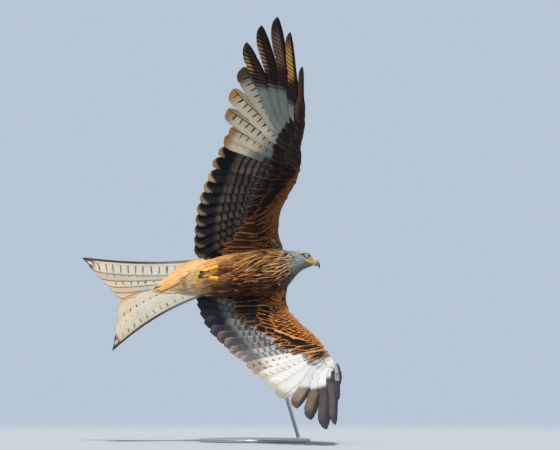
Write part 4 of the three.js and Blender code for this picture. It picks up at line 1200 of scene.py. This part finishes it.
coverTiers = {  # over which flight feathers and how many, their start along them, lengths, breadth, lift
    "greater": ["secondary", 15, 14, [76, 84], [9, 17], [0.2, 1.9]],
    "primary": ["primary", 12, 8, [66, 96], [8, 15], [0.2, 1.6]],
    "median": ["secondary", 27, 8, [54, 60], [6, 11], [0.6, 2.9]],
    "lesser": ["secondary", 30, -10, [46, 50], [5, 9], [1.6, 4.2]],
    "lesserPrimary": ["primary", 20, -2, [40, 50], [6, 10], [0.8, 3.0]],
}
looseness = {"share": 0.35, "angle": 4.0, "start": 5.0, "length": 0.14}   # how unevenly small rows lie
liningReach = {"back": 24, "hand": 20, "handShare": 0.3}    # where the left wing's lining reaches further


def coverLevel(half, root, toward, start, length, lift, face):  # how high a covert lies over the wing
    def level(t, u, v):
        reach = np.clip(t * length + start, -20, wingFlesh["rear"])
        over = half(root[0] + toward[0] * reach, root[1] + toward[1] * reach) - wingFlesh["inset"] + 1.4
        return face * (np.maximum(over, 4.6) + lift[0] + (lift[1] - lift[0]) * ease(t, 0, 0.7))
    return level


def coverRow(name, wing, tier, face):  # face 1 is the upper side, -1 the lower
    primaries, secondaries = flightFeathers(wing)
    over, count, start, lengths, (lead, trail), lift = coverTiers[tier]
    row = primaries if over == "primary" else secondaries
    _, half, _ = wingForm(wing)
    space = wingSpace(wing)
    loose = 0.25 if tier in ("greater", "primary") else 1.0
    first = 0.03 if tier == "lesser" else 0.0
    feathers = []
    for i in range(count):
        share = (i + chance.uniform(-1, 1) * looseness["share"] * loose) / (count - 1)
        share = np.clip(share, first, 1)
        at = share * (len(row) - 1)
        low, high = row[int(at)], row[min(int(at) + 1, len(row) - 1)]
        part = at - int(at)
        root = between(low["root"], high["root"], part)
        angle = low["angle"] + (high["angle"] - low["angle"]) * part
        angle += chance.normal(0, looseness["angle"]) * loose
        toward = heading(angle)
        length = np.interp(share, [0, 1], lengths)
        length *= 1 + chance.uniform(-1, 1) * looseness["length"] * loose
        begin = start + chance.uniform(-1, 1) * looseness["start"] * loose
        onLining = name == "left" and share < liningReach["handShare"]
        if name == "left" and tier in ("median", "lesser"):
            length += liningReach["back"] * (1 - float(ease(share, 0.05, 0.4)))
        kind = tier
        if tier == "lesserPrimary":
            kind = "lesser" if onLining else "primary"
            length += liningReach["hand"] * onLining
        feathers.append({
            "space": space, "root": [root[0] + toward[0] * begin, root[1] + toward[1] * begin],
            "angle": angle, "length": length, "lead": lead, "trail": trail,
            "outline": outlines["cover"],
            "level": coverLevel(half, root, toward, start, length, lift, face),
            "tilt": flight["tilt"] * 0.6, "camber": 1.2 * face, "above": face > 0, "share": share,
            "paint": coverPaint(name, kind), "mood": chance.uniform(0.6, 1.45),
        })
    return feathers


def alulaFeathers(name, wing):  # the small group on the thumb, on the upper side
    return [{
        "space": wingSpace(wing), "root": between(wing["wrist"], wing["handTip"], 0.06 + 0.08 * i),
        "angle": wing["primaryAngles"][9] + 9 - 3.5 * i, "length": 90 - 12 * i, "lead": 6, "trail": 15,
        "outline": outlines["cover"], "height": 9.2 - 0.9 * i, "above": True,
        "paint": coverPaint(name, "primary"),
    } for i in range(3)]


axillaryRow = {  # per feather, from the body out: where it starts, how long it is and how it lies
    "count": 18, "front": [-10, 34], "out": [14, 5.2], "loose": 2, "angle": [92, -0.5], "astray": 2.5,
    "length": [132, -4.2], "uneven": [0.86, 1.05], "lift": [3.4, -0.07],
}


def axillaries(name, wing):  # long feathers from the shoulder back along the body, on the lower side
    _, half, _ = wingForm(wing)
    feathers = []
    for i in range(axillaryRow["count"]):
        out, angle, length, lift = (axillaryRow[key][0] + axillaryRow[key][1] * i
                                    for key in ("out", "angle", "length", "lift"))
        first = chance.uniform(*axillaryRow["front"])
        u = out + chance.uniform(-axillaryRow["loose"], axillaryRow["loose"])

        def level(t, u, v, lift=lift + 0.03 * first):
            return -(np.maximum(half(u, v), 4.2) + lift + 1.6 * t)
        angle += chance.normal(0, axillaryRow["astray"])
        length *= chance.uniform(*axillaryRow["uneven"])
        feathers.append({
            "space": wingSpace(wing), "root": [u, first], "angle": angle, "length": length - first,
            "lead": 5.5, "trail": 8,
            "outline": outlines["cover"], "level": level, "tilt": 0.02, "camber": -1.2, "above": False,
            "share": 0, "paint": coverPaint(name, "axillary"), "mood": chance.uniform(0.55, 1.5),
        })
    return feathers


for name, wing in wings.items():
    piece = vanePiece(f"flight_{name}", wingFlight(name, wing), "wing_plumage")
    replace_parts(piece, f"wing_{name}_arm", f"wing_{name}_hand")
    rows = [coverRow(name, wing, tier, 1) for tier in ("greater", "primary", "median")]
    rows += [coverRow(name, wing, tier, -1) for tier in coverTiers]
    rows += [alulaFeathers(name, wing), axillaries(name, wing)]
    vanePiece(f"coverts_{name}", sum(rows, []), "wing_plumage", **coverVanes)


# Tail

tailColours = {
    "under": (0.50, 0.46, 0.38), "warm": (0.60, 0.44, 0.28), "edge": (0.030, 0.022, 0.018),
    "rim": (0.66, 0.52, 0.36), "upper": (0.36, 0.13, 0.045), "strip": (0.42, 0.20, 0.08),
    "corner": (0.05, 0.038, 0.034),
}
tailBars = {  # from the middle feather out: where bars start and end across the inner web, and strength
    "from": [0.0, 0.0, 0.46, 0.40, 0.40, -0.02], "to": [0.3, 0.3, 0.56, 0.66, 0.52, 0.75],
    "lowLast": 0.34, "strong": [0.2, 0.2, 0.6, 1.0, 0.8, 0.9],
}
tailOutlines = {
    "full": [[0, 0.3], [0.04, 0.9], [0.08, 1], [0.96, 1], [1, 0.8]],
    "rounded": [[0, 0.3], [0.04, 0.9], [0.08, 1], [0.84, 1], [0.94, 0.88], [0.98, 0.66], [1, 0.3]],
}


def tailPaint(feather, face, t, s):
    c, k, low = tailColours, feather["k"], feather["side"] < 0
    if face > 0:
        tint = mixed(c["upper"], (c["corner"], ease(t, 0.86, 0.95) * (k > 3)))
        return {"tint": tint, "bars": 0.4, "quill": 0.4, "gap": 22}
    edge = ease(s, 0.35, 0.6) * (0.8 + 0.2 * ease(t, 0.3, 0.6))
    spot = ease(1 - np.hypot((t - 0.965) / 0.02, (s + 0.1) / 0.4), 0.0, 0.6)
    tint = mixed(
        c["under"], (c["warm"], ease(t, 0.45, 0.95) * (1 - 0.12 * k)), (c["warm"], 0.5 * (k < 2)),
        (c["strip"], ease(-s, 0.35, 0.75) * (1 - ease(t, 0.95, 1.0)) * 0.8 * (k == 0)),
        (c["strip"], ease(-s, 0.66, 0.84) * (1 - 0.4 * ease(t, 0.85, 1.0)) * (k == 1 and low)),
        (c["edge"], edge * (k == 5)), (c["corner"], ease(t + 0.03 * s, 0.91, 0.945) * (k == 5)),
        (c["rim"], spot * (k == 5)),
    )
    start, end = tailBars["from"][k], tailBars["lowLast"] if low and k == 5 else tailBars["to"][k]
    inner = ease(-s, start, start + 0.08) * (1 - ease(-s, end, end + 0.14))
    bars = inner * ease(t, 0.22, 0.3) * (1 - ease(t, 0.9, 0.95)) * tailBars["strong"][k]
    return {"tint": tint, "bars": bars, "quill": 0.18, "gap": 21.5, "thin": 0.7, "slant": -0.1}


def tailFeathers():
    middle = tailSpace()
    feathers = []
    for half in tailShape["halves"]:
        def space(u, v, w, side=half["side"]):  # plan v is negative outwards on both sides
            return middle(u, -np.asarray(v) * side, w)
        for k in range(6):
            share = (k + 0.5) / 5.5
            longer = (half["long"] - tailShape["short"]) * share ** tailShape["forkPower"]
            cos, sin = heading(tailShape["fan"] * share)
            along = (tailShape["short"] + longer) * cos - tailShape["rootAlong"]
            out = (tailShape["short"] + longer) * sin - half["out"] * share
            lift = tailShape["innerLift"] if half["side"] < 0 and k == 0 else 0
            feathers.append({
                "space": space, "side": half["side"], "k": k, "length": math.hypot(along, out),
                "angle": -math.degrees(math.atan2(out, along)),
                "root": [tailShape["rootAlong"], -half["out"] * share],
                "lead": tailShape["lead"], "trail": tailShape["trail"] if k else tailShape["innerTrail"],
                "bow": half["bow"] * share, "tilt": tailShape["tilt"], "camber": tailShape["camber"],
                "ragged": 0.4, "wave": 0.05, "shaft": 0.25, "height": -tailShape["step"] * k + lift,
                "slant": 9 + 2.2 * k, "paint": tailPaint, "outline": tailOutlines["rounded"],
                "leadOutline": tailOutlines["full" if k > 3 else "rounded"],
            })
    return feathers


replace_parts(vanePiece("flight_tail", tailFeathers(), "tail_plumage"), "tail")


def tailCoverPaint(feather, face, t, s):
    above = feather["above"]
    base, share = (bodyColours["tailUpper"], 0.1) if above else (bodyColours["vent"], 0.55)
    tint = mixed(base, (bodyColours["flank"], ease(t, 0.2, 1) * share))
    return {"tint": tint, "rim": tint[0, 0] * 1.15, "fringe": 0.4, "quill": 0.1}


def tailCoverts():  # a wedge of soft feathers over the middle of the tail's upper side
    feathers = []
    for start, count, length, widest in ((92, 4, 48, 7), (76, 5, 52, 9), (60, 7, 60, 11)):
        wide, _ = curves(tailFlesh, start)
        for share in (np.arange(count) + 0.5) / count * 2 - 1:
            def level(t, u, v, share=share):
                _, deep = curves(tailFlesh, u)
                return np.maximum(deep * math.sqrt(1 - 0.8 * share * share), 3.2) + 0.5 + 1.3 * t
            feathers.append({
                "space": tailSpace(), "root": [start, tailShape["middle"] + share * (wide - 9)],
                "angle": -share * widest - 2, "lead": 9, "trail": 9,
                "length": length * chance.uniform(0.92, 1.06) * (1 - 0.15 * abs(share)),
                "outline": outlines["cover"], "level": level, "tilt": 0.0, "camber": 1.6,
                "above": True, "paint": tailCoverPaint,
            })
    return feathers


plumes = {  # soft feathers that sweep from the flank over the edge of the tail: both ends and bow
    "count": 84, "inset": 30,
    "root": [[-30, 42], [-20, 40], [-5, 40], [15, 36], [38, 28], [62, 16]],
    "end": [[46, 50], [64, 43], [80, 32], [97, 21], [115, 13], [133, 9]],
    "bow": [[16], [24], [30], [28], [20], [12]],
}


def sidePlumes():
    feathers = []
    for i in range(plumes["count"]):
        at = 5 * (i + 0.5) / plumes["count"]
        inset = plumes["inset"] * chance.uniform()
        root, end, bow = ([np.interp(at, np.arange(6), column) for column in zip(*plumes[key])]
                          for key in ("root", "end", "bow"))
        root[1] -= inset
        end[1] -= inset * 0.75
        end[0] -= inset * 0.3

        def level(t, u, v, lift=0.01 * i + 0.03 * inset):
            wide, deep = curves(tailFlesh, u)
            over = deep * np.sqrt(np.clip(1 - ((v - tailShape["middle"]) / wide) ** 2, 0, 1))
            return -(np.maximum(over, 4.2) + 2.2 - lift)
        feathers.append({
            "space": tailSpace(), "root": root, "length": math.dist(root, end), "lead": 5, "trail": 5,
            "angle": math.degrees(math.atan2(end[1] - root[1], end[0] - root[0])), "bow": bow[0],
            "outline": outlines["cover"], "level": level, "tilt": 0.0, "camber": -0.8, "above": False,
            "paint": tailCoverPaint,
        })
    return feathers


vanePiece("coverts_tail", tailCoverts() + sidePlumes(), "tail_plumage", **coverVanes)


# Eyes

def eyePaint(start):
    radial = start.attribute("radial")
    iris = start.noise(900.0, 2.0).blend((0.60, 0.52, 0.20), (0.86, 0.80, 0.46))
    colour = radial.step(4.4, 5.2).blend(iris, (0.03, 0.02, 0.01))
    colour = radial.step(2.35, 2.6).blend((0.002, 0.002, 0.002), colour)
    return {"Base Color": colour}, None, {"Roughness": 0.12, "Coat Weight": 1.0, "Coat Roughness": 0.03}


eyeFinish = finish("eye", eyePaint)
lidFinish = finish("lid", patchy({
    "grain": 1500.0, "patches": 260.0, "colours": [(0.012, 0.010, 0.009), (0.05, 0.042, 0.034)],
    "relief": (0.5, 0.0004), "gloss": {"Roughness": 0.6},
}))
eyeForm = {"bulge": 0.7, "bulgeEnds": [0.55, 0.95], "rings": 40}
lidForm = {  # width and thickness with how they vary, then height on the ball
    "wide": [6.35, 0.35], "high": 0.94, "thick": [1.25, 0.25], "flat": 0.95, "up": 3.9, "sides": [56, 14],
}


def facing(points, centre, axis):  # turns points about +Z to an axis at a centre
    turn = Vector((0, 0, 1)).rotation_difference(Vector(axis)).to_matrix()
    return points @ np.array(turn).T + centre


def makeEyes():
    polar = np.linspace(0.02, math.pi - 0.02, eyeForm["rings"])[:, None]
    turn = around(eyeForm["rings"])[None]
    radius = eyeShape["radius"] + eyeForm["bulge"] * (1 - ease(polar, *eyeForm["bulgeEnds"]))
    out = radius * np.sin(polar)
    rings = np.stack([out * np.cos(turn), out * np.sin(turn), radius * np.cos(polar) + 0 * turn], -1)
    ball, ballQuads = closedTube(rings)
    radial = np.where(ball[:, 2] > 0, np.linalg.norm(ball[:, :2], axis=1), 9)
    rows, columns = lidForm["sides"]
    ring, part = around(rows)[:, None], around(columns)[None]
    wide = lidForm["wide"][0] + lidForm["wide"][1] * np.cos(2 * ring)
    thick = lidForm["thick"][0] + lidForm["thick"][1] * np.sin(ring)
    lid = np.stack([(wide + thick * np.cos(part)) * np.cos(ring),
                    (wide * lidForm["high"] + thick * np.cos(part)) * np.sin(ring),
                    lidForm["up"] + thick * lidForm["flat"] * np.sin(part)], -1).reshape(-1, 3)
    lidQuads = outward(lid, ringQuads(rows + 1, columns) % len(lid))
    for side, name in ((-1, "right"), (1, "left")):
        place = eyeAt(side)
        eyeball = facing(ball, *place), ballQuads
        piece = meshPiece(f"eye_{name}_ball", *eyeball, eyeFinish, "eye", (), {"radial": radial})
        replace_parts(piece, f"eye_{name}")
        meshPiece(f"lids_{name}", facing(lid, *place), lidQuads, lidFinish, "head_plumage")


makeEyes()
print("eyes made")


# Bill: cere, horn, nostrils and the fleshy gape

billShape = {  # upper: ridge x and z, edge x and z, half width; lower: x, top, bottom, half width
    "upper": [[157.3, 497.3, 157.3, 484, 9.2], [161.5, 494.8, 160.8, 483, 8.6],
              [166.2, 491.8, 165, 480.6, 7.2], [170.8, 487.6, 168.6, 477.4, 5.6],
              [174.3, 482, 170.9, 474, 4], [175.7, 475.3, 172, 470.6, 2.4],
              [174.2, 466.4, 173.2, 466.6, 0.5]],
    "lower": [[157.3, 483.2, 475, 8.4], [163, 480.9, 473.7, 6.8], [167, 478, 473.2, 4.6],
              [169.2, 475.6, 473.6, 2.2]],
    "breadth": [[0, 0.05], [0.12, 0.42], [0.3, 0.68], [0.72, 1], [1, 0.9]], "swell": 0.07,
    "nostril": [[162.2, 7.4, 489.6]], "nostrilSize": [1.25, 1, 0.8], "nostrilDepth": 1.8, "cereEnd": 0.3,
    "upperSteps": 46, "lowerSteps": 24, "lips": [[0, 1.75], [3.0, 1.3]], "lipSteps": 40,
}


def billPaint(start):
    along, cereEnd = start.attribute("along"), billShape["cereEnd"]
    fine = start.noise(700.0) - 0.5
    horn = along.step(0.4, 0.75).blend((0.20, 0.21, 0.23), (0.018, 0.017, 0.018))
    cere = start.noise(330.0).blend((0.85, 0.50, 0.03), (0.72, 0.34, 0.02))
    # the nostril dents are painted dark red as the painted shade inside the openings
    cere = start.attribute("hollow").step(0.2, 0.9).blend(cere, (0.40, 0.06, 0.01))
    colour = (along + fine * 0.05).step(cereEnd - 0.03, cereEnd + 0.03).blend(cere, horn)
    gloss = {"Roughness": 0.34, "Coat Weight": 0.25, "Coat Roughness": 0.2}
    return {"Base Color": colour}, (fine, 0.25, 0.0004), gloss


billFinish = finish("bill", billPaint)


def hornPiece(name, points, quads, along, hollow=0.0):
    values = {"along": along + np.zeros(len(points)), "hollow": hollow + np.zeros(len(points))}
    return meshPiece(name, points, quads, billFinish, "bill_horn", (), values)


def alongRings(steps, sides):  # the same step round each ring of a closed tube
    return np.repeat(np.concatenate([[0, 0], steps, [1, 1]]), sides)


def makeUpperBill():
    middle, cereEnd, count = eyeShape["middle"], billShape["cereEnd"], billShape["upperSteps"]
    steps = np.linspace(0, 1, count)
    columns = (evenly(column, count)[:, None] for column in zip(*billShape["upper"]))
    ridgeX, ridgeZ, edgeX, edgeZ, half = columns
    swell = 1 + billShape["swell"] * (1 - ease(steps, cereEnd - 0.05, cereEnd))[:, None]
    down = np.linspace(0, 1, 15)[None]
    out = curve(billShape["breadth"], down) * half * swell
    side = np.stack([ridgeX + (edgeX - ridgeX) * down, out, ridgeZ + (edgeZ - ridgeZ) * down], -1)
    rings = np.concatenate([side, side[:, ::-1] * [1, -1, 1]], 1) + [0, middle, 0]
    points, quads = closedTube(rings)
    hollow = np.zeros(len(points))
    for out in (1, -1):
        hole = np.array(mirrored(billShape["nostril"], out)[0])
        near = 1 - ease(np.linalg.norm((points - hole) / billShape["nostrilSize"], axis=1), 0.9, 2.6)
        points = points - near[:, None] * [0, out * billShape["nostrilDepth"], 0]
        hollow = np.maximum(hollow, near)
    return hornPiece("bill_upper_horn", points, quads, alongRings(steps, 30), hollow)


def makeLowerBill():
    count = billShape["lowerSteps"]
    x, top, bottom, half = (evenly(column, count)[:, None] for column in zip(*billShape["lower"]))
    turn = around(24)[None]
    rise = np.sin(turn)
    high = np.where(rise > 0, top - 0.4, (top + (bottom - top) * -rise))
    out = half * np.cos(turn) * (0.95 - 0.12 * rise)
    points, quads = closedTube(np.stack([x + 0 * turn, eyeShape["middle"] + out, high + 0 * x], -1))
    return hornPiece("bill_lower_horn", points, quads, alongRings(0.1 + 0.9 * np.linspace(0, 1, count), 24))


def makeGape():
    count = billShape["lipSteps"]
    lips = []
    for side in (1, -1):
        for drop, thick in billShape["lips"]:
            path = smoothPath(mirrored(gapePath, side), count) - [0, 0, drop]
            path[:, 2] += drop * 0.5 * np.linspace(0, 1, count)
            lips.append(tube(path, thick * np.sin(np.linspace(0.5, math.pi * 0.93, count)) ** 0.6, 14))
    hornPiece("gape", *joined(lips), 0.0)


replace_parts(makeUpperBill(), "bill_upper")
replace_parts(makeLowerBill(), "bill_lower")
makeGape()
print("bill made")


# Feet: shank and toes with scutes, and claws

footFinish = finish("foot", patchy({
    "grain": 800.0, "patches": 160.0, "colours": [(1.0, 0.55, 0.008), (0.92, 0.42, 0.006)],
    "marks": "groove", "marked": (0.30, 0.12, 0.01), "relief": (0.3, 0.0004),
    "gloss": {"Roughness": 0.42, "Coat Weight": 0.15},
}))
clawFinish = finish("claw", patchy({
    "grain": 500.0, "patches": 500.0, "colours": [(0.010, 0.009, 0.010), (0.035, 0.030, 0.030)],
    "relief": (0.12, 0.0003), "gloss": {"Roughness": 0.3, "Coat Weight": 0.2, "Coat Roughness": 0.2},
}))
toeSteps = [[2, 0, 0, 0], [-8, -4, 0.7, 0.5], [-12, -11, 1, 1], [-8, -16, 1, 1.3]]   # on, low, wide, lean
hindToe = [[-1, 1, 0], [6, -6, 0], [12, -10, 0], [14, -14, 0]]
clawSteps = [[-0.6, 0], [2.4, 0], [5.4, 2.8], [6, 7.6], [4.2, 12]]    # on from the toe and down
shankForm = {"rings": 90, "sides": 20, "gap": 3.4, "depth": 0.09, "start": -3}   # gap and depth of scutes
toeForm = {"rings": 60, "sides": 16, "gap": 2.3, "depth": 0.12, "pads": 0.1, "hindHook": -0.7}
clawForm = {"rings": 36, "sides": 14, "aside": 0.35}
grooveDark = 0.6


def scaled(path, radii, form):  # a tube ringed by scutes, and where its grooves lie
    path = smoothPath(path, form["rings"])
    length = np.linalg.norm(np.diff(path, axis=0), axis=1).sum()
    wave = np.abs(np.sin(np.linspace(0, length / form["gap"] * math.pi, len(path))))
    groove = 1 - ease(wave, 0.0, 0.45)
    points, quads = tube(path, radii * (1 - form["depth"] * groove), form["sides"])
    grooves = np.concatenate([[groove[0]] * 2, groove, [groove[-1]] * 2])
    return points, quads, np.repeat(grooves, form["sides"])


def toePaths(leg):  # each with how far its claw points forward
    foot = np.array(leg["foot"])
    paths = []
    for side in (-1, 0, 1):
        out = side * legShape["toeSpread"]
        steps = [[on, low, out * wide + leg["lean"] * lean] for on, low, wide, lean in toeSteps]
        paths.append((foot + steps, 1))
    return paths + [(foot + hindToe, toeForm["hindHook"])]


def claw(toe, forward):
    on, hook = unit(toe[3] - toe[2]), unit(np.array([forward, clawForm["aside"], 0]))
    path = [toe[3] + on * further + hook * down for further, down in clawSteps]
    radii = evenly(legShape["claw"], clawForm["rings"])
    return tube(smoothPath(path, clawForm["rings"]), radii, clawForm["sides"])


def makeFoot(name, leg):
    start = alongShank(leg, legShape["thighEnd"] + shankForm["start"])
    shank = [start, between(start, leg["foot"], 0.5), leg["foot"]]
    parts = [scaled(shank, evenly(legShape["tarsus"], shankForm["rings"]), shankForm)]
    pads = 1 + toeForm["pads"] * np.sin(np.linspace(0, 3 * math.pi, toeForm["rings"])) ** 2
    radii = evenly(legShape["toe"], toeForm["rings"]) * pads
    for number, (toe, forward) in enumerate(toePaths(leg), 1):
        parts.append(scaled(toe, radii, toeForm))
        piece = meshPiece(f"talon_{name}_{number}", *claw(toe, forward), clawFinish, "claw_horn")
        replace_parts(piece, f"claw_{name}_{number}")
    grooves = {"groove": np.concatenate([part[2] for part in parts]) * grooveDark}
    skinned = joined([part[:2] for part in parts])
    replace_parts(meshPiece(f"shank_{name}", *skinned, footFinish, "leg_skin", (), grooves), f"foot_{name}")


for name, leg in legs.items():
    makeFoot(name, leg)
print("feet made")


# Stand

def steelPaint(start):
    inputs = {0: start.place(), 1: (1.0, 30.0, 30.0)}
    stretched = start.add("ShaderNodeVectorMath", {"operation": "MULTIPLY"}, inputs, "Vector")
    grain = start.noise(60.0, 3.0, stretched)
    colour = grain.blend((0.42, 0.43, 0.44), (0.56, 0.57, 0.58))
    return {"Base Color": colour, "Roughness": 0.3 + grain * 0.18}, (grain, 0.05, 0.0004), {"Metallic": 1.0}


steelFinish = finish("steel", steelPaint)
for name in ("stand_base", "stand_rod"):
    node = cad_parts[name]
    node.data.materials.clear()
    node.data.materials.append(steelFinish)


# Floor, light and camera

stageLook = {
    "radii": [0.01, 0.5, 1.2, 2.0, 3.0], "sides": 96, "below": -0.4, "fade": [1.1, 2.6],
    "floor": (0.38, 0.40, 0.42), "world": (0.66, 0.78, 0.92), "worldLight": 0.72,
    "sun": 3.5, "sunColour": (1.0, 0.96, 0.90), "sunSoft": 9, "sunFrom": [0.05, -0.30, 0.95],
}
cameraLook = {"place": [0.0676, -25.2, 0.585], "lens": 600, "sensor": 36, "far": 120}


def floorPaint(start):
    far = start.add("ShaderNodeVectorMath", {"operation": "LENGTH"}, {0: start.place()}, "Value")
    colour = start.noise(9.0, 4.0).blend(stageLook["floor"], [value * 1.06 for value in stageLook["floor"]])
    return {"Base Color": colour, "Alpha": 1 - far.step(*stageLook["fade"])}, None, {"Roughness": 0.9}


def placed(name, data):  # an object in the scene
    thing = bpy.data.objects.new(name, data)
    bpy.context.scene.collection.objects.link(thing)
    return thing


def makeFloor():
    sides = stageLook["sides"]
    turn = around(sides)[None]
    radii = np.array(stageLook["radii"])[:, None] / mm
    low = stageLook["below"] + 0 * radii * turn
    rings = np.stack([radii * np.cos(turn), radii * np.sin(turn), low], -1)
    mesh = bpy.data.meshes.new("floor")
    quads = ringQuads(len(radii), sides).tolist()
    mesh.from_pydata((rings.reshape(-1, 3) * mm).tolist(), [], quads + [list(range(sides))])
    mesh.materials.append(finish("floor", floorPaint))
    placed("floor", mesh)


def makeLight():
    world = bpy.data.worlds.new("pale")
    world.use_nodes = True
    background = world.node_tree.nodes["Background"].inputs
    background["Color"].default_value = (*stageLook["world"], 1)
    background["Strength"].default_value = stageLook["worldLight"]
    bpy.context.scene.world = world
    lamp = bpy.data.lights.new("sun", "SUN")
    lamp.energy = stageLook["sun"]
    lamp.angle = math.radians(stageLook["sunSoft"])
    lamp.color = stageLook["sunColour"]
    placed("sun", lamp).rotation_euler = Vector(stageLook["sunFrom"]).to_track_quat("Z", "Y").to_euler()


def makeCamera():
    camera = placed("camera", bpy.data.cameras.new("camera"))
    camera.data.lens = cameraLook["lens"]
    camera.data.sensor_width = cameraLook["sensor"]
    camera.data.clip_end = cameraLook["far"]
    camera.location = cameraLook["place"]
    camera.rotation_euler = (math.pi / 2, 0, 0)
    bpy.context.scene.camera = camera
    bpy.context.scene.view_settings.view_transform = "Standard"


makeFloor()
makeLight()
makeCamera()
print("stage made")
